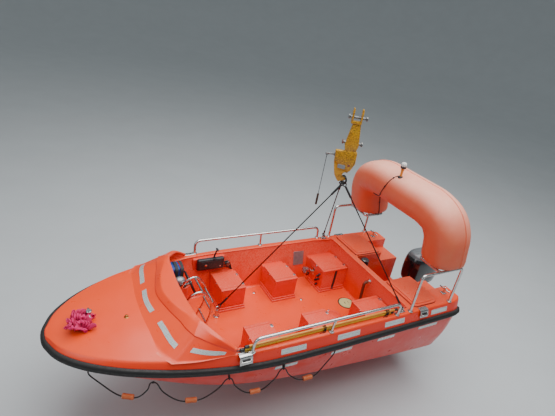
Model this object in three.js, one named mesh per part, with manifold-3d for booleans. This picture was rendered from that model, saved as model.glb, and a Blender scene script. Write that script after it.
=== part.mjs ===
// A 4.5 m rescue boat, hung from its three-leg sling, with an outboard motor.
//
// Sizes are in millimetres. The boat is drawn from the foot of its transom: X runs
// forward, Y to port and Z up from the base line. The last group moves it so that the
// origin lies amidships, on the centre line, at the waterline.

import * as THREE from 'three';
import Module from 'manifold-3d';
import { mergeVertices } from 'three/addons/utils/BufferGeometryUtils.js';

const wasm = await Module();
wasm.setup();

// Main sizes of the boat.
const MIDSHIP = 2250;
const WATERLINE = 180;
const GAP = 0.3;
const BAND = 38;
const GUNWALE = 905;
const FLOOR = 393;
const BULKHEAD_AFT = 775;
const BULKHEAD_FORE = 850;
const WELL_HALF = 285;
const WELL_FLOOR = 300;
const TRANSOM_TOP = 430;
const TRANSOM_THICK = 60;

// Stations of the hull: distance from the transom, keel height, chine half breadth and
// height, sheer half breadth and height of the joint between hull and deck.
const HULL = [
  { x: 0, keel: -120, chineY: 700, chineZ: 55, sheerY: 838, joint: 740 },
  { x: 45, keel: -120, chineY: 728, chineZ: 60, sheerY: 872, joint: 740 },
  { x: 150, keel: -120, chineY: 740, chineZ: 68, sheerY: 892, joint: 740 },
  { x: 1050, keel: -120, chineY: 748, chineZ: 150, sheerY: 898, joint: 740 },
  { x: 2000, keel: -120, chineY: 748, chineZ: 245, sheerY: 900, joint: 740 },
  { x: 2600, keel: -116, chineY: 742, chineZ: 330, sheerY: 892, joint: 745 },
  { x: 2950, keel: -92, chineY: 722, chineZ: 395, sheerY: 866, joint: 757 },
  { x: 3250, keel: -40, chineY: 680, chineZ: 460, sheerY: 826, joint: 778 },
  { x: 3550, keel: 60, chineY: 606, chineZ: 530, sheerY: 764, joint: 800 },
  { x: 3800, keel: 190, chineY: 510, chineZ: 592, sheerY: 682, joint: 810 },
  { x: 4000, keel: 325, chineY: 410, chineZ: 640, sheerY: 590, joint: 810 },
  { x: 4180, keel: 465, chineY: 300, chineZ: 680, sheerY: 480, joint: 806 },
  { x: 4320, keel: 585, chineY: 195, chineZ: 712, sheerY: 362, joint: 800 },
  { x: 4420, keel: 670, chineY: 110, chineZ: 735, sheerY: 240, joint: 795 },
  { x: 4480, keel: 715, chineY: 45, chineZ: 745, sheerY: 110, joint: 790 },
];

// Stations of the deck moulding: height at its edge and at its crown.
const DECK = [
  { edge: 892, crown: 905 },
  { edge: 892, crown: 905 },
  { edge: 892, crown: 905 },
  { edge: 892, crown: 905 },
  { edge: 892, crown: 905 },
  { edge: 892, crown: 905 },
  { edge: 892, crown: 905 },
  { edge: 895, crown: 940 },
  { edge: 897, crown: 968 },
  { edge: 893, crown: 962 },
  { edge: 884, crown: 942 },
  { edge: 872, crown: 917 },
  { edge: 860, crown: 892 },
  { edge: 849, crown: 870 },
  { edge: 838, crown: 848 },
];

// The cockpit: floor and top half breadths at each station.
const COCKPIT = [
  { x: BULKHEAD_FORE, floor: 665, top: 790 },
  { x: 2600, floor: 665, top: 790 },
  { x: 2950, floor: 640, top: 768 },
  { x: 3250, floor: 520, top: 700 },
  { x: 3480, floor: 360, top: 590 },
];

// Seat lockers on each side of the cockpit floor.
const LOCKER_WALL = 28;
const LOCKER_IN = 309;
const LOCKER_OUT = 656;
const LID_THICK = 24;
const LID_BACK = 8;
const LOCKERS = [
  { name: '1', aft: 2367, fore: 2676, top: 699 },
  { name: '2', aft: 1646, fore: 1957, top: 699 },
  { name: '3', aft: BULKHEAD_FORE, fore: 1245, top: 722 },
];

const GUNWALE_Y = 846;
const RAIL_R = 16;
const FRAME_R = 17;

const ORANGE = 0xe8501c;
const STEEL = 0xb9bcbe;
const BLACK = 0x1c1d20;

function look(colour, roughness, metalness) {
  return new THREE.MeshStandardMaterial({ color: colour, roughness: roughness, metalness: metalness });
}

const gelcoat = look(ORANGE, 0.35, 0);
const foam = look(0xe87650, 0.6, 0);
const steel = look(STEEL, 0.25, 1);
const rubber = look(BLACK, 0.8, 0);
const plastic = look(BLACK, 0.45, 0);
const yellow = look(0xe6b81e, 0.4, 0);
const aluminium = look(0x3a3d42, 0.4, 0.6);

// Solids.

/** The geometry with its position alone, and its shared vertices merged. */
function bare(geometry) {
  const plain = geometry.clone();
  plain.deleteAttribute('normal');
  plain.deleteAttribute('uv');
  return mergeVertices(plain, 1e-4);
}

/** The solid that a closed geometry bounds. */
function solid(geometry) {
  const plain = bare(geometry);
  const corners = new Float32Array(plain.attributes.position.array);
  const faces = new Uint32Array(plain.index.array);
  const mesh = new wasm.Mesh({ numProp: 3, vertProperties: corners, triVerts: faces });
  return new wasm.Manifold(mesh);
}

/** The geometry of a solid's surface. */
function surface(body) {
  const mesh = body.getMesh();
  const geometry = new THREE.BufferGeometry();
  geometry.setAttribute('position', new THREE.BufferAttribute(mesh.vertProperties, 3));
  geometry.setIndex(new THREE.BufferAttribute(mesh.triVerts, 1));
  const flat = geometry.toNonIndexed();
  flat.computeVertexNormals();
  return flat;
}

function join(bodies) {
  return bodies.reduce((whole, body) => whole.add(body));
}

/** The closed skin through sections of equal count, each counter-clockwise seen from ahead. */
function loft(sections) {
  const count = sections[0].length;
  const rows = sections.length - 1;
  const skin = bare(new THREE.CylinderGeometry(1, 1, rows, count, rows));
  const places = skin.attributes.position;
  for (let i = 0; i < places.count; i += 1) {
    const row = Math.round(places.getY(i) + rows / 2);
    const turn = Math.atan2(places.getX(i), places.getZ(i)) / (2 * Math.PI);
    const column = (Math.round(turn * count) + count) % count;
    const section = sections[row];
    const centre = Math.hypot(places.getX(i), places.getZ(i)) < 0.5;
    const point = centre ? middle(section) : section[column];
    places.setXYZ(i, point.x, point.y, point.z);
  }
  return solid(skin);
}

function middle(points) {
  const sum = points.reduce((total, point) => total.add(point), new THREE.Vector3());
  return sum.divideScalar(points.length);
}

/** A symmetric section at one station, from its port half, which starts on the centre line. */
function mirrored(x, half) {
  const port = half.map(([y, z]) => new THREE.Vector3(x, y, z));
  const inner = half.filter(([y]) => y > 0).reverse();
  const starboard = inner.map(([y, z]) => new THREE.Vector3(x, -y, z));
  return port.concat(starboard);
}

function block(x0, x1, y0, y1, z0, z1) {
  const geometry = new THREE.BoxGeometry(x1 - x0, y1 - y0, z1 - z0);
  geometry.translate((x0 + x1) / 2, (y0 + y1) / 2, (z0 + z1) / 2);
  return solid(geometry);
}

/** A box with rounded upright corners. */
function pad(x0, x1, y0, y1, z0, z1, radius) {
  const shape = new THREE.Shape();
  shape.moveTo(x0 + radius, y0);
  shape.lineTo(x1 - radius, y0);
  shape.quadraticCurveTo(x1, y0, x1, y0 + radius);
  shape.lineTo(x1, y1 - radius);
  shape.quadraticCurveTo(x1, y1, x1 - radius, y1);
  shape.lineTo(x0 + radius, y1);
  shape.quadraticCurveTo(x0, y1, x0, y1 - radius);
  shape.lineTo(x0, y0 + radius);
  shape.quadraticCurveTo(x0, y0, x0 + radius, y0);
  const options = { depth: z1 - z0, bevelEnabled: false, curveSegments: 3 };
  const geometry = new THREE.ExtrudeGeometry(shape, options);
  geometry.translate(0, 0, z0);
  return solid(geometry);
}

/** The geometry of a straight round bar between two points, which may taper. */
function bar(from, to, radius, sides = 12, tip = radius) {
  const start = new THREE.Vector3(...from);
  const end = new THREE.Vector3(...to);
  const along = end.clone().sub(start);
  const geometry = new THREE.CylinderGeometry(tip, radius, along.length(), sides);
  const turn = new THREE.Quaternion();
  turn.setFromUnitVectors(new THREE.Vector3(0, 1, 0), along.normalize());
  geometry.applyQuaternion(turn);
  const centre = start.add(end).multiplyScalar(0.5);
  geometry.translate(centre.x, centre.y, centre.z);
  return geometry;
}

function rod(from, to, radius, sides = 12, tip = radius) {
  return solid(bar(from, to, radius, sides, tip));
}

/** A path of straight runs joined by bends of one size. */
function route(points, bend) {
  const spots = points.map((point) => new THREE.Vector3(...point));
  const path = new THREE.CurvePath();
  let from = spots[0];
  for (let i = 1; i < spots.length - 1; i += 1) {
    const corner = spots[i];
    const before = from.clone().sub(corner);
    const after = spots[i + 1].clone().sub(corner);
    const size = Math.min(bend, before.length() * 0.95, after.length() * 0.48);
    const start = corner.clone().add(before.setLength(size));
    const end = corner.clone().add(after.setLength(size));
    path.add(new THREE.LineCurve3(from, start));
    path.add(new THREE.QuadraticBezierCurve3(start, corner, end));
    from = end;
  }
  path.add(new THREE.LineCurve3(from, spots[spots.length - 1]));
  return path;
}

function ring(radius, sides) {
  const shape = new THREE.Shape();
  for (let i = 0; i < sides; i += 1) {
    const angle = (i * 2 * Math.PI) / sides;
    const x = radius * Math.cos(angle);
    const y = radius * Math.sin(angle);
    if (i === 0) shape.moveTo(x, y);
    else shape.lineTo(x, y);
  }
  return shape;
}

/** A bent tube or rod of one radius. */
function bent(points, radius, bend, steps = 30, sides = 8) {
  const path = route(points, bend);
  const options = { steps: steps, bevelEnabled: false, extrudePath: path };
  return solid(new THREE.ExtrudeGeometry(ring(radius, sides), options));
}

/** A cord or cable through hand-placed points, as one smooth curve. */
function cord(points, radius, steps) {
  const spots = points.map((point) => new THREE.Vector3(...point));
  const path = new THREE.CatmullRomCurve3(spots, false, 'centripetal');
  const options = { steps: steps, bevelEnabled: false, extrudePath: path };
  return solid(new THREE.ExtrudeGeometry(ring(radius, 8), options));
}

/** A solid of revolution about an upright axis, from pairs of radius and height. */
function turned(profile, x, y, z, sides = 20) {
  const points = profile.map(([radius, height]) => new THREE.Vector2(radius, height));
  const geometry = new THREE.LatheGeometry(points, sides);
  geometry.rotateX(Math.PI / 2);
  geometry.translate(x, y, z);
  return solid(geometry);
}

/** The geometry of a flat plate cut to an outline in X and Z, from y0 to y1. */
function sheet(outline, y0, y1) {
  const shape = new THREE.Shape(outline.map(([x, z]) => new THREE.Vector2(x, z)));
  const geometry = new THREE.ExtrudeGeometry(shape, { depth: y1 - y0, bevelEnabled: false });
  geometry.rotateX(Math.PI / 2);
  geometry.translate(0, y1, 0);
  return geometry;
}

function plate(outline, y0, y1) {
  return solid(sheet(outline, y0, y1));
}

const boat = new THREE.Group();
boat.position.set(-MIDSHIP, 0, -WATERLINE);

function add(name, body, material) {
  const mesh = new THREE.Mesh(surface(body), material.clone());
  mesh.name = name;
  boat.add(mesh);
}

// Hull, deck and fender.

function hullSection({ x, keel, chineY, chineZ, sheerY, joint }) {
  const bottom = [chineY * 0.5, keel + (chineZ - keel) * 0.42];
  const chine = [chineY, chineZ];
  const flat = [chineY + 14, chineZ + 16];
  const rise = joint - BAND - chineZ - 16;
  const side = [chineY + 14 + (sheerY - chineY - 14) * 0.72, chineZ + 16 + rise * 0.5];
  const under = [sheerY, joint - BAND];
  return mirrored(x, [[0, keel], bottom, chine, flat, side, under, [sheerY, joint], [0, joint]]);
}

function deckSection(station, index, lift) {
  const { edge, crown } = DECK[index];
  const { x, sheerY, joint } = station;
  const foot = joint + lift;
  const edgeY = Math.max(sheerY - 26, sheerY * 0.8);
  const shoulderY = Math.max(sheerY - 44, sheerY * 0.65);
  const rise = crown - edge;
  const half = [[0, foot], [sheerY, foot], [sheerY, joint + BAND], [edgeY, edge + lift - GAP]];
  const shoulder = edge + Math.min(13, rise);
  const quarter = shoulder + (crown - shoulder) * 0.8;
  half.push([shoulderY, shoulder + lift - GAP]);
  half.push([sheerY * 0.5, quarter + lift - GAP], [0, crown + lift - GAP]);
  return mirrored(x, half);
}

function deckBody(lift) {
  return loft(HULL.map((station, index) => deckSection(station, index, lift)));
}

/** The room of the cockpit, or a room that lies inside it by a small inset. */
function cockpitVoid(inset = 0) {
  const low = FLOOR + inset;
  return loft(COCKPIT.map(({ x, floor, top }) => {
    const corner = top - inset;
    const half = [[0, low], [floor - inset, low], [corner, GUNWALE], [corner, 1100], [0, 1100]];
    return mirrored(x, half);
  }));
}

function wellVoid() {
  const inner = block(TRANSOM_THICK, BULKHEAD_AFT, -WELL_HALF, WELL_HALF, WELL_FLOOR, 1100);
  const notch = block(-50, 340, -WELL_HALF, WELL_HALF, TRANSOM_TOP, 1100);
  const splay = block(-50, 345, -590, 590, 770, 1100);
  return join([inner, notch, splay]);
}

function lockerBlocks() {
  const blocks = [];
  for (const { aft, fore, top } of LOCKERS) {
    const rim = top - LID_THICK;
    blocks.push(block(aft, fore, LOCKER_IN, 800, FLOOR - 5, rim));
    blocks.push(block(aft, fore, -800, -LOCKER_IN, FLOOR - 5, rim));
  }
  return join(blocks);
}

function lockerHollows() {
  const hollows = [];
  for (const { aft, fore, top } of LOCKERS) {
    for (const side of [1, -1]) {
      const near = side * (LOCKER_IN + LOCKER_WALL);
      const far = side * (LOCKER_OUT - 30);
      const low = Math.min(near, far);
      const high = Math.max(near, far);
      const front = fore - LOCKER_WALL;
      hollows.push(block(aft + LOCKER_WALL, front, low, high, FLOOR + 10, top + 50));
    }
  }
  return join(hollows);
}

const cockpit = cockpitVoid();
const well = wellVoid();
const openings = cockpit.subtract(lockerBlocks()).add(lockerHollows());
const hull = loft(HULL.map(hullSection)).subtract(openings).subtract(well);
add('hull', hull, gelcoat);

const deck = deckBody(GAP).subtract(cockpit).subtract(well);
add('deck', deck, gelcoat);

/** The outline of the sheer, from the port quarter round the bow to the starboard one. */
function sheerLine() {
  const port = HULL.map(({ x, sheerY, joint }) => new THREE.Vector3(x, sheerY, joint));
  const starboard = HULL.map(({ x, sheerY, joint }) => new THREE.Vector3(x, -sheerY, joint));
  return port.concat(starboard.reverse());
}

function fenderSections(line) {
  return line.map((spot, index) => {
    const last = line[Math.max(index - 1, 0)];
    const next = line[Math.min(index + 1, line.length - 1)];
    const along = next.clone().sub(last).setZ(0).normalize();
    const out = new THREE.Vector3(along.y, -along.x, 0).negate();
    const outward = out.dot(new THREE.Vector3(spot.x - 3000, spot.y * 3, 0)) > 0 ? out : out.negate();
    const profile = [[0, -BAND], [24, -BAND + 4], [36, -14], [36, 14], [24, BAND - 4], [0, BAND]];
    return profile.map(([depth, height]) => {
      const point = spot.clone().addScaledVector(outward, depth + 2 * GAP);
      return point.setZ(spot.z + height);
    });
  });
}

const FENDER_JOINT = 3000;

/** The fender comes in three lengths, one on each side and one round the bow. */
function addFenders() {
  const whole = loft(fenderSections(sheerLine()));
  const bow = block(FENDER_JOINT + GAP, 5000, -1200, 1200, 0, 1200);
  add('fender_bow', whole.intersect(bow), rubber);
  add('fender_port', whole.intersect(block(-200, FENDER_JOINT, 0, 1200, 0, 1200)), rubber);
  add('fender_starboard', whole.intersect(block(-200, FENDER_JOINT, -1200, 0, 0, 1200)), rubber);
}

addFenders();

// Cowl.

// Spokes of the cowl, from the centre line to its port end: foot on the deck, crease of
// the front face and aft rim.
const COWL = [
  { foot: [3740, 0, 955], crease: [3530, 0, 1100], rim: [3300, 0, 1118] },
  { foot: [3722, 240, 950], crease: [3505, 210, 1102], rim: [3300, 200, 1120] },
  { foot: [3692, 440, 938], crease: [3450, 370, 1108], rim: [3300, 360, 1126] },
  { foot: [3640, 600, 922], crease: [3390, 500, 1118], rim: [3295, 505, 1138] },
  { foot: [3530, 745, 905], crease: [3330, 600, 1135], rim: [3275, 610, 1144] },
  { foot: [3300, 805, 905], crease: [3190, 715, 1045], rim: [3165, 712, 1050] },
  { foot: [3010, 828, 905], crease: [3005, 818, 950], rim: [2990, 812, 950] },
];
const COWL_THICK = 34;

/** One spoke's section: the outer skin and the inner one, which lies inboard and below. */
function cowlSection({ foot, crease, rim }, side) {
  const thick = COWL_THICK;
  const [fx, fy, fz] = foot;
  const [cx, cy, cz] = crease;
  const [rx, ry, rz] = rim;
  const inY = (y) => Math.max(y - thick * Math.min(1, y / 500), 0);
  const points = [
    [fx, fy, fz - 70],
    [fx, fy, fz],
    [cx, cy, cz],
    [rx, ry, rz],
    [rx, inY(ry), rz - thick],
    [cx - 12, inY(cy), cz - thick],
    [fx - thick, inY(fy), fz - 12],
    [fx - thick, inY(fy), fz - 70],
  ];
  return points.map(([x, y, z]) => new THREE.Vector3(x, y * side, z));
}

function cowl() {
  const port = COWL.map((spoke) => cowlSection(spoke, 1)).reverse();
  const starboard = COWL.slice(1).map((spoke) => cowlSection(spoke, -1));
  const whole = loft(port.concat(starboard));
  const deckTop = deckBody(2 * GAP).add(block(2000, 5000, -1000, 1000, 0, GUNWALE + GAP));
  return whole.subtract(deckTop);
}

add('cowl', cowl(), gelcoat);

// Lids.

/** A locker's lid, which turns up about its after top edge. */
function lid({ aft, fore, top }, side) {
  const near = side * (LOCKER_IN - 5);
  const far = side * (LOCKER_OUT + 4);
  const base = top - LID_THICK + GAP;
  const start = aft === BULKHEAD_FORE ? aft + LID_BACK : aft - 4;
  return pad(start, fore + 4, Math.min(near, far), Math.max(near, far), base, top, 14);
}

for (const locker of LOCKERS) {
  add(`lid_port_${locker.name}`, lid(locker, 1), gelcoat);
  add(`lid_starboard_${locker.name}`, lid(locker, -1), gelcoat);
}

for (const [name, side] of [['port', 1], ['starboard', -1]]) {
  const near = side * 300;
  const far = side * 812;
  const low = Math.min(near, far);
  add(`pod_cover_${name}`, pad(358, 765, low, Math.max(near, far), GUNWALE + GAP, 930, 22), gelcoat);
}

// Rails, arch frames and arch.

const RAIL = { aft: 1066, middle: 1962, fore: 2849, height: 1068 };
const FRAME = { aft: 218, fore: 862, top: 1387, inner: 520, bearers: [290, 590] };

function flange(x, y, radius = 26) {
  return rod([x, y, GUNWALE + GAP], [x, y, GUNWALE + 6], radius, 16);
}

function rail(side) {
  const y = side * GUNWALE_Y;
  const out = y + side * 15;
  const foot = GUNWALE + 3;
  const points = [[RAIL.fore, y, foot], [RAIL.fore, out, RAIL.height]];
  points.push([RAIL.aft, out, RAIL.height], [RAIL.aft, y, foot]);
  const post = rod([RAIL.middle, y, foot], [RAIL.middle, out, RAIL.height], RAIL_R * 0.8, 8);
  const feet = [RAIL.fore, RAIL.middle, RAIL.aft].map((x) => flange(x, y));
  return join([bent(points, RAIL_R, 95, 36), post, ...feet]);
}

/** A hoop on the gunwale, with two bearers and a cross tube that carry the arch's foot. */
function archFrame(side) {
  const y = side * GUNWALE_Y;
  const inner = side * FRAME.inner;
  const foot = GUNWALE + 3;
  const hoop = [[FRAME.aft, y, foot], [FRAME.aft, y, FRAME.top], [FRAME.fore, y, FRAME.top]];
  hoop.push([FRAME.fore, y, foot]);
  const [near, far] = FRAME.bearers;
  const bearer = [[near, y, FRAME.top], [near, inner, FRAME.top], [far, inner, FRAME.top]];
  bearer.push([far, y, FRAME.top]);
  const feet = [flange(FRAME.aft, y), flange(FRAME.fore, y)];
  return join([bent(hoop, FRAME_R, 60, 36), bent(bearer, FRAME_R, 45, 30), ...feet]);
}

for (const [name, side] of [['port', 1], ['starboard', -1]]) {
  add(`rail_${name}`, rail(side), steel);
  add(`arch_frame_${name}`, archFrame(side), steel);
}

const ARCH = { x: 540, long: 262, thick: 212, foot: FRAME.top + FRAME_R + GAP, y: 690, top: 1990 };
// The legs rake: each foot stands this far aft of the crown.
const ARCH_RAKE = 140;
// The section is squarer than an ellipse by this power.
const ARCH_POWER = 2.5;
const ARCH_PATH = [
  { y: ARCH.y, z: ARCH.foot, size: 0.8 },
  { y: ARCH.y, z: ARCH.foot + 45, size: 1 },
  { y: ARCH.y, z: 1765, size: 1 },
  { y: 610, z: 1925, size: 1 },
  { y: 440, z: ARCH.top, size: 1 },
];

/** The buoyant arch: an oval tube bent over the stern, grown by a small amount. */
function arch(grow = 0) {
  const port = ARCH_PATH;
  const starboard = [...ARCH_PATH].reverse().map(({ y, z, size }) => ({ y: -y, z: z, size: size }));
  const path = port.concat(starboard);
  return loft(path.map((spot, index) => {
    const last = path[Math.max(index - 1, 0)];
    const next = path[Math.min(index + 1, path.length - 1)];
    const arrive = new THREE.Vector2(spot.y - last.y, spot.z - last.z);
    const leave = new THREE.Vector2(next.y - spot.y, next.z - spot.z);
    const first = arrive.length() > 0 ? arrive.normalize() : leave.clone().normalize();
    const second = leave.length() > 0 ? leave.normalize() : first.clone();
    const along = first.clone().add(second).normalize();
    const mitre = 1 / Math.max(along.dot(first), 0.5);
    const out = new THREE.Vector2(along.y, -along.x);
    const rake = (ARCH_RAKE * (ARCH.top - spot.z)) / (ARCH.top - ARCH.foot);
    const sides = 24;
    const points = [];
    for (let i = 0; i < sides; i += 1) {
      const angle = (i * 2 * Math.PI) / sides;
      const [c, s] = [Math.cos(angle), Math.sin(angle)];
      const square = (Math.abs(c) ** ARCH_POWER + Math.abs(s) ** ARCH_POWER) ** (-1 / ARCH_POWER);
      const long = (ARCH.long * spot.size * square + grow) * c;
      const across = (ARCH.thick * spot.size * square + grow) * mitre * s;
      const x = ARCH.x - rake + long;
      points.push(new THREE.Vector3(x, spot.y + out.x * across, spot.z + out.y * across));
    }
    return points;
  }));
}

add('arch', arch(), foam);

const LAMP = { x: 700, y: -30, base: 2140, top: 2362 };

function lamp() {
  const { x, y, base, top } = LAMP;
  const stem = rod([x, y, base], [x, y, top - 60], 9, 10);
  const collar = [[0, top - 75], [28, top - 75], [28, top - 52], [23, top - 48], [21, top - 18]];
  collar.push([12, top - 4], [0, top]);
  return join([stem, turned(collar, x, y, 0, 16)]).subtract(arch(GAP));
}

add('lamp', lamp(), plastic);

// The lamp's cable, clipped to the arch, from the lamp's stem to the frame's bearer.
const LAMP_CABLE = [
  [700, -43.8, 2181],
  [706, -56, 2177],
  [722, -69.5, 2167],
  [756, -85.6, 2139.5],
  [780, -95, 2106],
  [806.6, -134, 1995],
  [797, -170.4, 1914],
  [762.6, -207, 1849],
  [720.7, -326, 1815],
  [679.4, -404, 1795.3],
  [626, -430.7, 1770.3],
  [571.5, -456.2, 1755.3],
  [514.7, -464.3, 1733.8],
  [486.2, -473.5, 1714],
  [448.5, -473.5, 1581.6],
  [410.8, -473.4, 1449.3],
  [402, -480, 1415],
  [400, -488, 1390],
  [400, -502.4, 1387],
];

add('lamp_cable', cord(LAMP_CABLE, 4, 40).subtract(arch(GAP)), rubber);

// Deck fittings.

function cleat(side) {
  const [x, y] = [159, side * 696];
  const base = pad(x - 30, x + 30, y - 30, y + 30, GUNWALE + GAP, GUNWALE + 6, 8);
  const post = rod([x, y, GUNWALE + 3], [x, y, GUNWALE + 85], 13, 12);
  const bar = rod([x, y - 75, GUNWALE + 60], [x, y + 75, GUNWALE + 60], 9, 10);
  return join([base, post, bar]);
}

add('cleat_port', cleat(1), steel);
add('cleat_starboard', cleat(-1), steel);

/** The mooring post on the foredeck, cut to the deck's camber. */
function bowPost() {
  const x = 4130;
  const base = rod([x, 0, 870], [x, 0, 935], 34, 16);
  const post = rod([x, 0, 880], [x, 0, 1010], 22, 14);
  const bar = rod([x, -72, 975], [x, 72, 975], 11, 10);
  return join([base, post, bar]).subtract(deckBody(2 * GAP));
}

add('bow_post', bowPost(), steel);

// Lifting gear.

const EYE = { ring: 22, bar: 8 };
const THIMBLE = { ring: 24, bar: 6 };
const LEG_R = 7;
const MASTER = { ring: 43, bar: 10, x: 1565, low: 2150, high: 2236 };
const EYES = {
  port: [975, 816, GUNWALE + 8 + EYE.ring],
  starboard: [975, -816, GUNWALE + 8 + EYE.ring],
  forward: [2738, -250, 510],
};

/** A round link about a centre, square to an axis. */
function link(centre, axis, ringRadius, barRadius, sides = 18) {
  const geometry = new THREE.TorusGeometry(ringRadius, barRadius, 8, sides);
  const turn = new THREE.Quaternion();
  turn.setFromUnitVectors(new THREE.Vector3(0, 0, 1), axis.clone().normalize());
  geometry.applyQuaternion(turn);
  geometry.translate(centre.x, centre.y, centre.z);
  return solid(geometry);
}

const ACROSS = new THREE.Vector3(0, 1, 0);
const AHEAD = new THREE.Vector3(1, 0, 0);

function liftingEye(name) {
  const [x, y, z] = EYES[name];
  const eye = link(new THREE.Vector3(x, y, z), ACROSS, EYE.ring, EYE.bar);
  if (name === 'forward') {
    const post = rod([x, y, FLOOR + 6], [x, y, z - EYE.ring + 2], 20, 14);
    const foot = pad(x - 38, x + 38, y - 38, y + 38, FLOOR + GAP, FLOOR + 10, 12);
    return join([eye, post, foot]);
  }
  const foot = pad(x - 42, x + 42, y - 24, y + 30, GUNWALE + GAP, GUNWALE + 8, 8);
  return join([eye, foot]);
}

/** Where a leg's top thimble hangs on the master link's lower bow. */
function hangPoint(angle) {
  const low = MASTER.low + MASTER.ring;
  const across = MASTER.ring * Math.sin(angle);
  return new THREE.Vector3(MASTER.x, across, low - MASTER.ring * Math.cos(angle));
}

/** A wire leg with a thimble round the master link and one through its lifting eye. */
function slingLeg(name, angle) {
  const top = hangPoint(angle);
  const centre = new THREE.Vector3(...EYES[name]);
  const pull = top.clone().sub(centre).setY(0).setLength(EYE.ring);
  const low = centre.clone().add(pull);
  const down = low.clone().sub(top).normalize();
  const drop = THIMBLE.ring - THIMBLE.bar - MASTER.bar - GAP;
  const lift = THIMBLE.ring - THIMBLE.bar - EYE.bar - GAP;
  const upper = top.clone().addScaledVector(down, drop);
  const lower = low.clone().addScaledVector(down, -lift);
  const topAxis = new THREE.Vector3().crossVectors(down, AHEAD);
  const lowAxis = new THREE.Vector3().crossVectors(down, ACROSS);
  const start = upper.clone().addScaledVector(down, THIMBLE.ring);
  const end = lower.clone().addScaledVector(down, -THIMBLE.ring);
  const sleeve = start.clone().addScaledVector(down, 120);
  const cuff = end.clone().addScaledVector(down, -110);
  return join([
    link(upper, topAxis, THIMBLE.ring, THIMBLE.bar),
    link(lower, lowAxis, THIMBLE.ring, THIMBLE.bar),
    rod(start.toArray(), end.toArray(), LEG_R, 8),
    rod(start.toArray(), sleeve.toArray(), LEG_R * 1.7, 10),
    rod(cuff.toArray(), end.toArray(), LEG_R * 1.7, 10),
  ]);
}

function masterLink() {
  const centre = new THREE.Vector3(MASTER.x, 0, (MASTER.low + MASTER.high) / 2);
  return link(centre, AHEAD, MASTER.ring, MASTER.bar, 28);
}

add('lifting_eye_port', liftingEye('port'), steel);
add('lifting_eye_starboard', liftingEye('starboard'), steel);
add('lifting_post', liftingEye('forward'), steel);
add('sling_forward', slingLeg('forward', 0), rubber);
add('sling_port', slingLeg('port', 0.6), rubber);
add('sling_starboard', slingLeg('starboard', -0.6), rubber);
add('master_link', masterLink(), rubber);

// The release hook hangs turned a little to starboard. Its outlines are in its own plane:
// distance ahead of the throat's centre and height above it.
const THROAT_R = 30;
const HOOK_TURN = -0.5585;
const HOOK_Z = MASTER.high - MASTER.bar + THROAT_R - 6;
const HOOK_BODY = [[159, 261], [-71, 270], [-77, 140], [-37, 47], [-20, 42], [-20, -40], [-8, -58],
  [25, -68], [63, -84], [114, -17], [149, 133]];
const HOOK_NECK = [[60, 250], [-45, 250], [-66, 330], [-62, 375], [-34, 575], [44, 575], [74, 375],
  [80, 330]];
const HOOK_LEVER = 205;
const HOOK_TOP = 715;
const LANYARD = { ahead: 236, grip: -268, end: -400 };

/** A solid made in the hook's own plane, turned and moved to where the hook hangs. */
function hungSolid(geometry) {
  geometry.rotateZ(HOOK_TURN);
  geometry.translate(MASTER.x, 0, HOOK_Z);
  return solid(geometry);
}

function hook() {
  const throat = hungSolid(bar([0, -60, 0], [0, 60, 0], THROAT_R, 24));
  const slim = hungSolid(sheet(HOOK_BODY, -11, 11));
  const upper = hungSolid(sheet(HOOK_BODY.slice(0, 4).concat([[-10, 47], [149, 133]]), -28, 28));
  const shell = slim.add(upper).subtract(throat);
  const neck = hungSolid(sheet(HOOK_NECK, -20, 20));
  const crown = hungSolid(sheet([[-38, 560], [70, 560], [70, 585], [-38, 585]], -28, 28));
  const cheeks = [54, -38].map((ahead) => {
    const outline = [[ahead, 580], [ahead + 16, 580], [ahead + 16, HOOK_TOP], [ahead, HOOK_TOP]];
    return hungSolid(sheet(outline, -28, 28));
  });
  const pins = [
    hungSolid(bar([-92, 0, 356], [104, 0, 356], 15, 14)),
    hungSolid(bar([-70, 0, 625], [100, 0, 625], 13, 14)),
    hungSolid(bar([140, 0, HOOK_LEVER], [250, 0, HOOK_LEVER], 8, 10)),
  ];
  return join([shell, neck, crown, ...cheeks, ...pins]);
}

/** The hook's release lanyard with its grip, which hangs from the lever. */
function lanyard() {
  const { ahead, grip, end } = LANYARD;
  const line = bar([ahead, 0, grip - 10], [ahead, 0, HOOK_LEVER - 8 - GAP], 3, 8);
  const handle = bar([ahead, 0, end], [ahead, 0, grip], 12, 12);
  return join([hungSolid(line), hungSolid(handle)]);
}

add('hook', hook(), yellow);
add('lanyard', lanyard(), rubber);

// Helm and gear in the cockpit.

function helmConsole() {
  const body = block(3080, 3410, -640, -320, FLOOR + GAP, 830);
  return body.intersect(cockpitVoid(GAP));
}

add('helm_console', helmConsole(), gelcoat);

const WHEEL = { x: 3000, y: -490, z: 745, ring: 150, tilt: 0.4 };

/** The helm wheel with its hub and shaft, facing aft and a little up. */
function helmWheel() {
  const axis = new THREE.Vector3(-Math.cos(WHEEL.tilt), 0, Math.sin(WHEEL.tilt));
  const hub = new THREE.Vector3(WHEEL.x, WHEEL.y, WHEEL.z);
  const rim = link(hub, axis, WHEEL.ring, 11, 28);
  const up = new THREE.Vector3(Math.sin(WHEEL.tilt), 0, Math.cos(WHEEL.tilt));
  const parts = [rim];
  for (let i = 0; i < 3; i += 1) {
    const spoke = up.clone().applyAxisAngle(axis, (i * 2 * Math.PI) / 3);
    const end = hub.clone().addScaledVector(spoke, WHEEL.ring);
    parts.push(rod(hub.toArray(), end.toArray(), 8, 8));
  }
  const front = hub.clone().addScaledVector(axis, 22);
  const back = hub.clone().addScaledVector(axis, -45);
  parts.push(rod(front.toArray(), back.toArray(), 30, 14));
  return join(parts);
}

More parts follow.
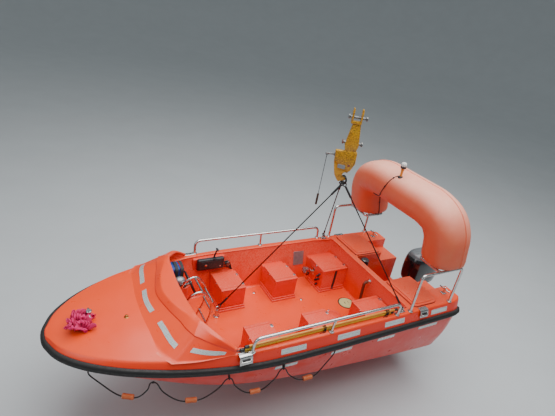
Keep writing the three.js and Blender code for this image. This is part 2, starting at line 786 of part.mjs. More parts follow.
/** The steering head between the wheel and the console's after face. */
function helmHead() {
  const axis = new THREE.Vector3(-Math.cos(WHEEL.tilt), 0, Math.sin(WHEEL.tilt));
  const hub = new THREE.Vector3(WHEEL.x, WHEEL.y, WHEEL.z);
  const front = hub.clone().addScaledVector(axis, -45.6);
  const back = hub.clone().addScaledVector(axis, -190);
  const body = rod(front.toArray(), back.toArray(), 38, 16);
  return body.subtract(block(3080 - GAP, 3500, -700, -200, 300, 1100));
}

add('helm_wheel', helmWheel(), plastic);
add('helm_head', helmHead(), plastic);

function compass() {
  const profile = [[0, 830 + GAP], [48, 830 + GAP], [48, 850], [42, 872], [28, 890], [0, 898]];
  return turned(profile, 3135, -372, 0, 18);
}

add('compass', compass(), plastic);

const CONTROL = { aft: 2520, fore: 2860, face: -731, depth: 62, low: 750, high: 905 };

/** The moulded pad on the cockpit's side that carries the remote control. */
function sideConsole() {
  const { aft, fore, face, low, high } = CONTROL;
  const body = block(aft - 30, fore + 40, -800, face, low - 30, high - 15);
  return body.intersect(cockpitVoid(GAP));
}

function controlBox() {
  const { aft, fore, face, depth, low, high } = CONTROL;
  const box = pad(aft, fore, face + GAP, face + depth, low, high, 20);
  const middleY = face + depth / 2;
  const lever = rod([2650, middleY, high - 5], [2620, middleY, high + 110], 10, 8);
  const grip = rod([2620, middleY - 35, high + 110], [2620, middleY + 35, high + 110], 15, 10);
  return join([box, lever, grip]);
}

add('side_console', sideConsole(), gelcoat);
add('control_box', controlBox(), plastic);

const LADDER_STILE = [[3010, FLOOR + GAP], [3010, 470], [2930, 640], [2926, 850], [3060, 1015],
  [3200, 950], [3262, 560]];

/** The folded boarding ladder: two hooked stiles and their rungs. */
function ladder() {
  const parts = [];
  for (const y of [0, -262]) {
    const shift = y === 0 ? 0 : -30;
    const points = LADDER_STILE.map(([x, z]) => [x + shift, y, z]);
    parts.push(bent(points, 13, 90, 30));
  }
  for (const [x, z] of [[2958, 540], [2915, 700], [2913, 830], [3045, 995]]) {
    parts.push(rod([x, 8, z], [x, -270, z], 11, 8));
  }
  return join(parts);
}

add('ladder', ladder(), steel);

function searchlight() {
  const body = rod([1300, -545, 600], [1390, -545, 615], 44, 16, 50);
  const arm = block(1245 + GAP, 1310, -565, -525, 560, 590);
  const back = block(1245 + GAP, 1252, -590, -500, 530, 640);
  return join([body, arm, back]);
}

add('searchlight', searchlight(), steel);

add('floor_hatch', rod([1012, 0, FLOOR + GAP], [1012, 0, FLOOR + 10], 98, 28), plastic);

/** The bilge pump's hose, from its elbow on the bulkhead down to the floor. */
function hose() {
  const start = BULKHEAD_FORE + GAP;
  const points = [[start, 125, 800], [930, 125, 800], [925, 130, 560], [925, 130, FLOOR + GAP]];
  const elbow = rod([start, 125, 800], [start + 8, 125, 800], 34, 14);
  return join([bent(points, 17, 55, 22), elbow]);
}

add('bilge_hose', hose(), rubber);

/** A pole laid along the port side deck. */
function pole(y, z, fore, aft, radius) {
  return rod([aft, y, z], [fore, y, z], radius, 10);
}

add('boat_hook', pole(808, GUNWALE + GAP + 15, 2940, 1120, 15), yellow);
add('pole', pole(811, GUNWALE + 43.6, 2900, 1070, 14), yellow);

// Outboard motor.

const TILT = { x: -20, z: 510 };
const STEER_X = -118;
const BARREL = { low: 115, high: 450 };
const CHEEK = [[-52, 535], [5, 535], [34, 495], [66, 462], [84, 430], [90, 392], [90, 330],
  [60 + GAP, 330], [60 + GAP, 430 + GAP], [-GAP, 430 + GAP], [-GAP, 170], [-36, 170], [-52, 400]];

/** The clamp bracket, which hooks over the transom and carries the tilt tube. */
function bracket() {
  const cheeks = [plate(CHEEK, 92, 112), plate(CHEEK, -112, -92)];
  const web = block(-20, -GAP, -100, 100, 210, 400);
  const cross = block(60 + GAP, 88, -100, 100, 335, 400);
  const tube = rod([TILT.x, -125, TILT.z], [TILT.x, 125, TILT.z], 15, 14);
  return join([...cheeks, web, cross, tube]);
}

/** The swivel bracket, which tilts about the tube and holds the steering pins. */
function swivel() {
  const sleeve = rod([TILT.x, -84, TILT.z], [TILT.x, 84, TILT.z], 26, 18);
  const barrel = rod([STEER_X, 0, BARREL.low], [STEER_X, 0, BARREL.high], 34, 18);
  const arm = block(STEER_X, -60, -40, 40, 400, 450);
  const head = block(-92, TILT.x, -40, 40, 415, 498);
  const bore = rod([TILT.x, -200, TILT.z], [TILT.x, 200, TILT.z], 15.4, 14);
  return join([sleeve, barrel, arm, head]).subtract(bore);
}

/** The level outline of the motor's housing: an oval with a blunt nose. */
function oval(aft, fore, half, z, sides = 16) {
  const points = [];
  for (let i = 0; i < sides; i += 1) {
    const angle = (i * 2 * Math.PI) / sides;
    const round = Math.sign(Math.cos(angle)) * Math.abs(Math.cos(angle)) ** 0.7;
    const wide = Math.sign(Math.sin(angle)) * Math.abs(Math.sin(angle)) ** 0.7;
    points.push(new THREE.Vector3((aft + fore) / 2 + ((fore - aft) / 2) * round, half * wide, z));
  }
  return points;
}

const SHOULDER = 578;
const SHAFT_Z = -300;
const HOUSING = [
  { aft: -330, fore: -195, half: 26, z: -280 },
  { aft: -345, fore: -190, half: 34, z: -100 },
  { aft: -335, fore: -180, half: 42, z: 120 },
  { aft: -350, fore: -176, half: 60, z: 480 },
  { aft: -400, fore: -78, half: 105, z: 545 },
  { aft: -400, fore: -58, half: 110, z: SHOULDER },
];
const COVER = [
  { aft: -420, fore: 22, half: 130, z: SHOULDER + GAP },
  { aft: -452, fore: 66, half: 158, z: 628 },
  { aft: -458, fore: 80, half: 165, z: 770 },
  { aft: -448, fore: 72, half: 160, z: 908 },
  { aft: -420, fore: 36, half: 140, z: 996 },
  { aft: -360, fore: -30, half: 95, z: 1028 },
];

function leg() {
  const housing = loft(HOUSING.map(({ aft, fore, half, z }) => oval(aft, fore, half, z)));
  const fin = block(-470, -170, -98, 98, -122, -112);
  const torpedo = rod([-420, 0, SHAFT_Z], [-190, 0, SHAFT_Z], 46, 16);
  const nose = rod([-191, 0, SHAFT_Z], [-110, 0, SHAFT_Z], 46, 16, 12);
  const skeg = plate([[-370, -320], [-200, -320], [-255, -470], [-365, -470]], -6, 6);
  const lower = block(-230, STEER_X - 20, -30, 30, 60, 109);
  const foot = rod([STEER_X, 0, 60], [STEER_X, 0, 109], 30, 16);
  const head = rod([STEER_X, 0, BARREL.high + GAP], [STEER_X, 0, 555], 20, 16);
  return join([housing, fin, torpedo, nose, skeg, lower, foot, head]);
}

function motorCowl() {
  return loft(COVER.map(({ aft, fore, half, z }) => oval(aft, fore, half, z)));
}

function propeller() {
  const x = -474;
  const parts = [rod([-420 - GAP, 0, SHAFT_Z], [x - 50, 0, SHAFT_Z], 38, 16, 30)];
  for (let i = 0; i < 3; i += 1) {
    const blade = new THREE.BoxGeometry(9, 78, 112);
    blade.rotateZ(0.55);
    blade.translate(0, 0, 86);
    blade.rotateX((i * 2 * Math.PI) / 3);
    blade.translate(x, 0, SHAFT_Z);
    parts.push(solid(blade));
  }
  return join(parts);
}

add('motor_bracket', bracket(), aluminium);
add('motor_swivel', swivel(), aluminium);
add('motor_leg', leg(), aluminium);
add('motor_cowl', motorCowl(), plastic);
add('propeller', propeller(), aluminium);

// Cloth and lifelines.

function bundleRing(x, half, high, z) {
  const points = [];
  const sides = 12;
  for (let i = 0; i < sides; i += 1) {
    const angle = (i * 2 * Math.PI) / sides;
    points.push(new THREE.Vector3(x, half * Math.cos(angle), z + high * Math.sin(angle)));
  }
  return points;
}

/** The cloth that is bundled round the bow post. */
function bundle() {
  const x = 4235;
  const whole = loft([
    bundleRing(x - 95, 60, 50, 920),
    bundleRing(x - 60, 130, 78, 940),
    bundleRing(x + 20, 150, 88, 935),
    bundleRing(x + 80, 100, 70, 915),
    bundleRing(x + 120, 40, 40, 900),
  ]);
  const post = rod([4130, 0, 800], [4130, 0, 1100], 34 + GAP, 16);
  return whole.subtract(deckBody(2 * GAP)).subtract(post);
}

add('cloth_bundle', bundle(), look(0xd8257c, 0.9, 0));

// The port lifeline, from its becket at the bow to its last one, in four loops under the
// fender. The starboard one is its mirror image.
const LIFELINE = [
  [4200, 483, 768], [4196, 485, 730], [4117, 525, 641], [3963, 603, 509], [3836, 667, 505],
  [3754, 709, 612], [3732, 720, 699], [3710, 731, 713], [3686, 736, 699], [3623, 750, 580],
  [3462, 784, 440], [3293, 821, 437], [3142, 853, 558], [3084, 866, 658], [3060, 871, 672],
  [3035, 873, 658], [2983, 877, 549], [2842, 887, 418], [2699, 898, 417], [2576, 908, 537],
  [2535, 911, 637], [2510, 913, 651], [2485, 913, 637], [2422, 914, 533], [2258, 916, 408],
  [2102, 918, 411], [1978, 919, 560], [1914, 920, 665], [1910, 920, 703.5],
];
const LIFELINE_R = 6;
const FLOAT = { radius: 25, half: 52 };
const FLOATS = [[3, 4], [10, 11], [17, 18], [24, 25]];

/** A lifeline with a float at the foot of each loop. */
function lifeline(side) {
  const points = LIFELINE.map(([x, y, z]) => [x, y * side, z]);
  const parts = [cord(points, LIFELINE_R, 80)];
  for (const [before, after] of FLOATS) {
    const start = new THREE.Vector3(...points[before]);
    const end = new THREE.Vector3(...points[after]);
    const along = end.clone().sub(start).setLength(FLOAT.half);
    const centre = start.add(end).multiplyScalar(0.5);
    const from = centre.clone().sub(along).toArray();
    const to = centre.clone().add(along).toArray();
    parts.push(rod(from, to, FLOAT.radius, 14));
  }
  return join(parts);
}

add('lifeline_port', lifeline(1), rubber);
add('lifeline_starboard', lifeline(-1), rubber);

export default boat;
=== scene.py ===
"""A 4.5 m rescue boat, hung from its three-leg sling: the looks that go over its solids.

The boat's own numbers are in millimetres from the foot of its transom, as on a builder's
drawing: X forward, Y to port and Z up from the base line. `boat` turns them to metres in the
frame of the part, whose origin is amidships on the waterline.
"""

import logging
import math
import random
from collections.abc import Callable, Iterable, Sequence
from dataclasses import dataclass, field
from enum import Enum

import bmesh
import bpy
from mathutils import Matrix, Vector
from mathutils.bvhtree import BVHTree


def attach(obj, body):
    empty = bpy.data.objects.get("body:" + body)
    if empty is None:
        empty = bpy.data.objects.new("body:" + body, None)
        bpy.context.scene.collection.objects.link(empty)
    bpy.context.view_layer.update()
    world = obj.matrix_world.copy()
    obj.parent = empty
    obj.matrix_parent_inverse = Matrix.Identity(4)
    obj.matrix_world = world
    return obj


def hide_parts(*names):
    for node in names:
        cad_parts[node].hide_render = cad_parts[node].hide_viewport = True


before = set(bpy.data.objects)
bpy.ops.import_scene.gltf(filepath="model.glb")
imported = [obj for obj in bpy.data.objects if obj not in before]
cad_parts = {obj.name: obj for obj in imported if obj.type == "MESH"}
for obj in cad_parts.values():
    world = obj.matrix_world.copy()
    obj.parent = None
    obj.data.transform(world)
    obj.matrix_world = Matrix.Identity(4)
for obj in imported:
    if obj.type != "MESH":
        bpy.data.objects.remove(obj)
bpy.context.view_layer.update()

logging.basicConfig(level=logging.INFO, format="%(message)s")
LOG = logging.getLogger("boat")

Point = tuple[float, float, float]
Flat = tuple[float, float]
Ring = Sequence[Vector]

# The part's origin on the drawing, the cockpit's floor, the gunwale's top, half the height of the
# fender's band, and where the sling hangs from, all in millimetres.
MIDSHIP = 2250.0
WATERLINE = 180.0
FLOOR = 393.0
GUNWALE = 905.0
BAND = 38.0
HANG = 1565.0
SIDES = {"port": 1, "starboard": -1}
UP = Vector((0, 0, 1))


def boat(x: float, y: float, z: float) -> Vector:
    """Turns a place on the boat's drawing, in millimetres, to metres in the part's frame.

    Args:
        x: distance forward of the transom's foot.
        y: distance to port of the centre line.
        z: height above the base line.

    Returns:
        The place in the part's frame.
    """
    return Vector(((x - MIDSHIP) / 1000, y / 1000, (z - WATERLINE) / 1000))


def drawn(spots: Iterable[Sequence[float]]) -> list[Vector]:
    """Turns a row of places on the drawing to the part's frame."""
    return [boat(*spot) for spot in spots]


def mm(size: float) -> float:
    """Turns millimetres to metres."""
    return size / 1000


def between(first: Sequence[float], last: Sequence[float], share: float) -> list[float]:
    """Mixes two rows of numbers, from all first at 0 to all last at 1."""
    return [a + (b - a) * share for a, b in zip(first, last)]


def smooth_table(table: Sequence[Sequence[float]], steps: int) -> list[list[float]]:
    """Draws a smooth curve through the rows of a table.

    Args:
        table: rows of numbers, whose first column grows from row to row.
        steps: how many rows each gap between two rows becomes.

    Returns:
        The rows of the curve, with each row of the table among them.
    """
    rows: list[list[float]] = []
    last = len(table) - 1

    def slope(index: int, column: int) -> float:
        """The rate of change of a column at a row, limited so that it never overshoots."""
        low, high = max(index - 1, 0), min(index + 1, last)
        here = table[index]
        before = (here[column] - table[low][column]) / max(here[0] - table[low][0], 1e-6)
        after = (table[high][column] - here[column]) / max(table[high][0] - here[0], 1e-6)
        if index == 0:
            return after
        if index == last:
            return before
        if before * after <= 0:
            return 0.0
        return 2 * before * after / (before + after)

    for index in range(last):
        start, end = table[index], table[index + 1]
        gap = end[0] - start[0]
        for step in range(steps):
            t = step / steps
            row = []
            for column in range(len(start)):
                rise = 3 * t * t - 2 * t * t * t
                lead = (t - 2 * t * t + t * t * t) * gap * slope(index, column)
                tail = (t * t * t - t * t) * gap * slope(index + 1, column)
                row.append(start[column] + (end[column] - start[column]) * rise + lead + tail)
            row[0] = start[0] + gap * t
            rows.append(row)
    rows.append(list(table[last]))
    return rows


def rounded(corners: Sequence[Sequence[float]], radii: Sequence[float], steps: int) -> list[list[float]]:
    """Rounds the corners of an open line.

    Args:
        corners: the line's points, of two or three numbers.
        radii: how far each corner's bend reaches along both sides, 0 for a sharp one.
        steps: how many short lines make a bend.

    Returns:
        The points of the rounded line. A sharp corner stays one point.
    """
    line: list[list[float]] = []
    last = len(corners) - 1
    for index, (corner, radius) in enumerate(zip(corners, radii)):
        if radius <= 0 or index in (0, last):
            line.append(list(corner))
            continue
        before, after = corners[index - 1], corners[index + 1]
        reach = min(math.dist(before, corner), math.dist(corner, after)) * 0.49
        size = min(radius, reach)
        start = between(corner, before, size / math.dist(before, corner))
        end = between(corner, after, size / math.dist(corner, after))
        for step in range(steps + 1):
            t = step / steps
            line.append(between(between(start, corner, t), between(corner, end, t), t))
    return line


def curve_through(points: Sequence[Sequence[float]], count: int) -> list[Vector]:
    """Draws the centripetal curve through points, and cuts it into equal lengths.

    Args:
        points: the places that the curve passes through.
        count: how many places the result has.

    Returns:
        Places at equal distances along the curve.
    """
    spots = [Vector(point) for point in points]
    spots = [spots[0] * 2 - spots[1], *spots, spots[-1] * 2 - spots[-2]]
    fine: list[Vector] = []
    for index in range(1, len(spots) - 2):
        p0, p1, p2, p3 = spots[index - 1 : index + 3]
        t1 = math.sqrt((p1 - p0).length)
        t2 = t1 + math.sqrt((p2 - p1).length)
        t3 = t2 + math.sqrt((p3 - p2).length)
        for step in range(16):
            t = t1 + (t2 - t1) * step / 16
            a1 = p0 * ((t1 - t) / t1) + p1 * (t / t1)
            a2 = p1 * ((t2 - t) / (t2 - t1)) + p2 * ((t - t1) / (t2 - t1))
            a3 = p2 * ((t3 - t) / (t3 - t2)) + p3 * ((t - t2) / (t3 - t2))
            b1 = a1 * ((t2 - t) / t2) + a2 * (t / t2)
            b2 = a2 * ((t3 - t) / (t3 - t1)) + a3 * ((t - t1) / (t3 - t1))
            fine.append(b1 * ((t2 - t) / (t2 - t1)) + b2 * ((t - t1) / (t2 - t1)))
    fine.append(spots[-2])
    return evenly(fine, count)


def evenly(line: Sequence[Vector], count: int) -> list[Vector]:
    """Cuts a line of many short pieces into equal lengths."""
    reach = [0.0]
    for before, after in zip(line, line[1:]):
        reach.append(reach[-1] + (after - before).length)
    spots: list[Vector] = []
    index = 0
    for step in range(count):
        target = reach[-1] * step / (count - 1)
        while index < len(reach) - 2 and reach[index + 1] < target:
            index += 1
        gap = max(reach[index + 1] - reach[index], 1e-9)
        spots.append(line[index].lerp(line[index + 1], (target - reach[index]) / gap))
    return spots


# Materials.


def linear(colour: str) -> tuple[float, float, float, float]:
    """Turns an sRGB hex colour to the linear one that a shader takes."""
    parts = [int(colour[i : i + 2], 16) / 255 for i in (1, 3, 5)]
    shares = [c / 12.92 if c <= 0.04045 else ((c + 0.055) / 1.055) ** 2.4 for c in parts]
    return (shares[0], shares[1], shares[2], 1.0)


Socket = bpy.types.NodeSocket
Tree = bpy.types.NodeTree


def add_node(tree: Tree, kind: str, inputs: dict | None = None, **settings: object) -> bpy.types.Node:
    """Adds a shader node with its settings, values and links.

    Args:
        tree: the material's node tree.
        kind: the node's type, without its ShaderNode prefix.
        inputs: for each input's name or number, a value or the output that feeds it.
        settings: the node's own properties.

    Returns:
        The new node.
    """
    made = tree.nodes.new("ShaderNode" + kind)
    for key, value in settings.items():
        setattr(made, key, value)
    for key, value in (inputs or {}).items():
        if isinstance(value, Socket):
            tree.links.new(value, made.inputs[key])
        else:
            made.inputs[key].default_value = value
    return made


@dataclass(frozen=True)
class Finish:
    """A finish of the boat. Each kind paints its own nodes."""

    name: str
    slot: str

    def material(self) -> bpy.types.Material:
        """Returns the finish's material, which is made once."""
        found = bpy.data.materials.get(self.name)
        if found:
            return found
        made = bpy.data.materials.new(self.name)
        made.use_nodes = True
        tree = made.node_tree
        tree.nodes.clear()
        shader = add_node(tree, "BsdfPrincipled")
        add_node(tree, "OutputMaterial", {"Surface": shader.outputs["BSDF"]})
        self.paint(tree, shader)
        return made

    def paint(self, tree: Tree, shader: bpy.types.Node) -> None:
        """Adds the nodes that feed the shader."""
        raise NotImplementedError


def place_of(tree: Tree) -> Socket:
    """Returns the output that gives a point's place on the piece, in metres."""
    return add_node(tree, "TexCoord").outputs["Object"]


def speckle(tree: Tree, place: Socket, size: float, detail: float = 3.0, rough: float = 0.55) -> Socket:
    """Adds a noise whose patches are of one size.

    Args:
        tree: the material's node tree.
        place: the output that gives the place.
        size: the patches' size in millimetres.
        detail: how many finer layers lie over it.
        rough: how strong the finer layers are.

    Returns:
        The noise's value, about 0.5.
    """
    settings = {"Vector": place, "Scale": 1000 / size, "Detail": detail, "Roughness": rough}
    return add_node(tree, "TexNoise", settings).outputs["Fac"]


def ramp(tree: Tree, value: Socket, low: float, high: float, out: Flat = (0.0, 1.0)) -> Socket:
    """Maps a value between two limits to an output range, and holds it there outside them."""
    settings = {"Value": value, "From Min": low, "From Max": high, "To Min": out[0], "To Max": out[1]}
    return add_node(tree, "MapRange", settings).outputs["Result"]


def mixed(tree: Tree, share: Socket | float, first: Socket | str, second: Socket | str) -> Socket:
    """Mixes two colours, each an output or a hex colour."""
    inputs = {0: share}
    for key, colour in ((6, first), (7, second)):
        inputs[key] = colour if isinstance(colour, Socket) else linear(colour)
    return add_node(tree, "Mix", inputs, data_type="RGBA").outputs[2]


def sums(tree: Tree, operation: str, first: Socket | float, second: Socket | float = 0.0) -> Socket:
    """Works out a sum of two values."""
    return add_node(tree, "Math", {0: first, 1: second}, operation=operation).outputs[0]


@dataclass(frozen=True)
class Coat(Finish):
    """A moulded, painted or polished surface with patches, grain and wear.

    Attributes:
        colour: its colour where it is clean.
        patch: a second tone, which comes and goes over patches.
        patch_mm: the patches' size.
        bleach_and_top_light: the lighter colour that faces which look up take, if any: partly the sun's real
            bleaching, partly painted top light and sky reflection.
        bleach_and_top_light_share: how much of that colour such a face takes.
        worn: the colour along worn edges and scuffs.
        wear: how much of the edges is worn, from 0 to 1.
        gloss: the lowest and highest roughness.
        grain_mm: the size of the surface's grain.
        grain_deep: the grain's height in millimetres.
        wave_mm: the size of the shallow waves that a hand-laid or cast surface has.
        wave_deep: the waves' height in millimetres.
        metallic: 1 for bare metal.
        coat: how strong its clear top coat is.
        brushed: how much longer its grain is than wide, for drawn or brushed metal.
    """

    colour: str
    patch: str
    patch_mm: float = 180.0
    bleach_and_top_light: str = ""
    bleach_and_top_light_share: float = 0.0
    worn: str = ""
    wear: float = 0.0
    gloss: Flat = (0.35, 0.5)
    grain_mm: float = 3.0
    grain_deep: float = 0.05
    wave_mm: float = 120.0
    wave_deep: float = 0.0
    metallic: float = 0.0
    coat: float = 0.0
    brushed: float = 1.0

    def paint(self, tree: Tree, shader: bpy.types.Node) -> None:
        """Adds the patches, the lightening of faces that look up (partly sun bleaching, partly painted top
        light), the wear, the gloss and the grain.
        """
        place = place_of(tree)
        patches = speckle(tree, place, self.patch_mm, 5.0, 0.62)
        colour = mixed(tree, ramp(tree, patches, 0.36, 0.64), self.colour, self.patch)
        # Faces that look up are mixed toward a lighter colour: partly sun bleaching, partly painted top light
        # and sky reflection.
        if self.bleach_and_top_light:
            colour = mixed(tree, self.bleach_and_top_light_mask(tree, patches), colour, self.bleach_and_top_light)
        if self.worn:
            colour = mixed(tree, self.worn_edge(tree, place), colour, self.worn)
        tree.links.new(colour, shader.inputs["Base Color"])
        shader.inputs["Metallic"].default_value = self.metallic
        shader.inputs["Coat Weight"].default_value = self.coat
        shader.inputs["Coat Roughness"].default_value = 0.12
        smears = speckle(tree, place, self.patch_mm * 0.45, 6.0, 0.7)
        rough = ramp(tree, smears, 0.35, 0.68, self.gloss)
        tree.links.new(rough, shader.inputs["Roughness"])
        tree.links.new(self.relief(tree, place), shader.inputs["Normal"])

    def bleach_and_top_light_mask(self, tree: Tree, patches: Socket) -> Socket:
        """Returns how much a point is lightened by how far its face looks up: partly sun bleaching, partly
        painted top light.
        """
        facing = add_node(tree, "TexCoord").outputs["Normal"]
        up = add_node(tree, "SeparateXYZ", {0: facing}).outputs["Z"]
        # The more a face looks up, the more it is lightened: painted top light as well as bleaching.
        bare = ramp(tree, up, 0.1, 0.95, (0.0, self.bleach_and_top_light_share))
        return sums(tree, "MULTIPLY", bare, ramp(tree, patches, 0.2, 0.7, (0.72, 1.0)))

    def worn_edge(self, tree: Tree, place: Socket) -> Socket:
        """Returns how worn a point is: on sharp edges, broken up by a fine noise."""
        sharp = add_node(tree, "NewGeometry").outputs["Pointiness"]
        edge = ramp(tree, sharp, 0.515, 0.56, (0.0, self.wear))
        broken = ramp(tree, speckle(tree, place, 14.0, 8.0, 0.75), 0.42, 0.6)
        return sums(tree, "MULTIPLY", edge, broken)

    def relief(self, tree: Tree, place: Socket) -> Socket:
        """Returns the bent normal of the grain over the shallow waves."""
        stretch = (1.0 / self.brushed, 1.0, 1.0)
        along = add_node(tree, "Mapping", {"Vector": place, "Scale": stretch}).outputs[0]
        grain = speckle(tree, along, self.grain_mm, 2.0)
        waves = speckle(tree, place, self.wave_mm, 1.0)
        inputs = {"Height": waves, "Distance": mm(self.wave_deep), "Strength": 1.0}
        slow = add_node(tree, "Bump", inputs).outputs["Normal"]
        inputs = {"Height": grain, "Distance": mm(self.grain_deep), "Normal": slow}
        return add_node(tree, "Bump", inputs).outputs["Normal"]


@dataclass(frozen=True)
class Lattice(Finish):
    """Retro-reflective sheet: silver cells sealed in a net of clear film.

    Attributes:
        colour: the silver of the cells.
        seal: the net's colour.
        cell_mm: the distance from cell to cell.
    """

    colour: str
    seal: str
    cell_mm: float

    def paint(self, tree: Tree, shader: bpy.types.Node) -> None:
        """Adds the cells, their net and the dirt on the film."""
        place = place_of(tree)
        inputs = {"Vector": place, "Scale": 1000 / self.cell_mm, "Randomness": 0.15}
        cells = add_node(tree, "TexVoronoi", inputs, feature="DISTANCE_TO_EDGE").outputs["Distance"]
        net = ramp(tree, cells, 0.03, 0.10)
        dirt = ramp(tree, speckle(tree, place, 60.0, 6.0, 0.7), 0.45, 0.75, (0.0, 0.5))
        clean = mixed(tree, net, self.seal, self.colour)
        tree.links.new(mixed(tree, dirt, clean, "#8d8a80"), shader.inputs["Base Color"])
        tree.links.new(ramp(tree, dirt, 0.0, 0.5, (0.18, 0.5)), shader.inputs["Roughness"])
        shader.inputs["Metallic"].default_value = 0.35
        shader.inputs["Coat Weight"].default_value = 0.6
        bump = add_node(tree, "Bump", {"Height": net, "Distance": mm(0.15)})
        tree.links.new(bump.outputs["Normal"], shader.inputs["Normal"])


@dataclass(frozen=True)
class Laid(Finish):
    """Rope or wire, whose strands wind round the piece. It reads the piece's flow attribute.

    Attributes:
        colour: the strands' colour.
        groove: the colour between the strands, painted shade in the grooves.
        strands: how many strands show round it.
        lay_mm: the length of one full turn of a strand.
        deep: the groove's depth in millimetres.
        rough: its roughness.
        metallic: 1 for wire.
        braided: whether strands wind both ways.
    """

    colour: str
    groove: str
    strands: int
    lay_mm: float
    deep: float
    rough: float
    metallic: float = 0.0
    braided: bool = False

    def paint(self, tree: Tree, shader: bpy.types.Node) -> None:
        """Adds the strands, with painted shade in the grooves between them, and patches of soil."""
        flow = add_node(tree, "Attribute", attribute_name="flow").outputs["Vector"]
        axes = add_node(tree, "SeparateXYZ", {0: flow}).outputs
        turn = sums(tree, "ARCTAN2", axes["Y"], axes["X"])
        run = sums(tree, "MULTIPLY", axes["Z"], 2 * math.pi * 1000 / self.lay_mm * self.strands)
        round_ = sums(tree, "MULTIPLY", turn, float(self.strands))
        wave = sums(tree, "SINE", sums(tree, "ADD", round_, run))
        if self.braided:
            other = sums(tree, "SINE", sums(tree, "SUBTRACT", round_, run))
            wave = sums(tree, "MAXIMUM", wave, other)
        height = ramp(tree, wave, -1.0, 1.0)
        soil = speckle(tree, place_of(tree), 25.0, 4.0, 0.7)
        # Low parts between the strands take the groove colour: painted shade. The soil noise darkens the rope
        # in patches.
        shade = sums(tree, "MULTIPLY", height, ramp(tree, soil, 0.3, 0.6, (0.45, 1.0)))
        tree.links.new(mixed(tree, shade, self.groove, self.colour), shader.inputs["Base Color"])
        shader.inputs["Roughness"].default_value = self.rough
        shader.inputs["Metallic"].default_value = self.metallic
        bump = add_node(tree, "Bump", {"Height": height, "Distance": mm(self.deep)})
        tree.links.new(bump.outputs["Normal"], shader.inputs["Normal"])


@dataclass(frozen=True)
class Woven(Finish):
    """Thin cloth, whose weave follows the piece's own UV map, in metres.

    Attributes:
        colour: the yarn's colour where it is lit.
        shaded_colour: a shaded tone of the same yarn, painted shade, spread in random patches and along the
            weave.
        thread_mm: the distance from thread to thread.
        sheen: how much its fibres shine at a slant.
    """

    colour: str
    shaded_colour: str
    thread_mm: float
    sheen: float

    def paint(self, tree: Tree, shader: bpy.types.Node) -> None:
        """Adds the warp and weft, and random patches of the shaded tone: painted shade."""
        flat = add_node(tree, "TexCoord").outputs["UV"]
        waves = []
        for direction in ("X", "Y"):
            inputs = {"Vector": flat, "Scale": 1000 / self.thread_mm / 20}
            settings = {"bands_direction": direction, "wave_profile": "SIN"}
            waves.append(add_node(tree, "TexWave", inputs, **settings).outputs["Fac"])
        weave = sums(tree, "MULTIPLY", waves[0], waves[1])
        # Random patches and the weave take the shaded tone of the yarn: painted shade.
        shade_patches = ramp(tree, speckle(tree, place_of(tree), 45.0, 5.0, 0.6), 0.35, 0.65)
        colour = mixed(tree, shade_patches, self.colour, self.shaded_colour)
        lit = mixed(tree, ramp(tree, weave, 0.0, 1.0, (0.0, 0.22)), colour, self.shaded_colour)
        tree.links.new(lit, shader.inputs["Base Color"])
        shader.inputs["Roughness"].default_value = 0.82
        shader.inputs["Sheen Weight"].default_value = self.sheen
        shader.inputs["Sheen Roughness"].default_value = 0.4
        bump = add_node(tree, "Bump", {"Height": weave, "Distance": mm(0.25)})
        tree.links.new(bump.outputs["Normal"], shader.inputs["Normal"])


@dataclass(frozen=True)
class Clear(Finish):
    """Moulded clear or milky plastic or glass, as on a lamp.

    Attributes:
        colour: its tint.
        through: how much light passes, from 0 to 1.
        rough: its roughness.
    """

    colour: str
    through: float
    rough: float

    def paint(self, tree: Tree, shader: bpy.types.Node) -> None:
        """Adds the fine ribs that spread the light."""
        place = place_of(tree)
        tint = ramp(tree, speckle(tree, place, 30.0), 0.3, 0.7, (0.0, 0.35))
        tree.links.new(mixed(tree, tint, self.colour, "#cfd6d4"), shader.inputs["Base Color"])
        shader.inputs["Roughness"].default_value = self.rough
        shader.inputs["Transmission Weight"].default_value = self.through
        shader.inputs["IOR"].default_value = 1.49
        ribs = add_node(tree, "TexWave", {"Vector": place, "Scale": 12.0}, bands_direction="Z")
        bump = add_node(tree, "Bump", {"Height": ribs.outputs["Fac"], "Distance": mm(0.4)})
        tree.links.new(bump.outputs["Normal"], shader.inputs["Normal"])


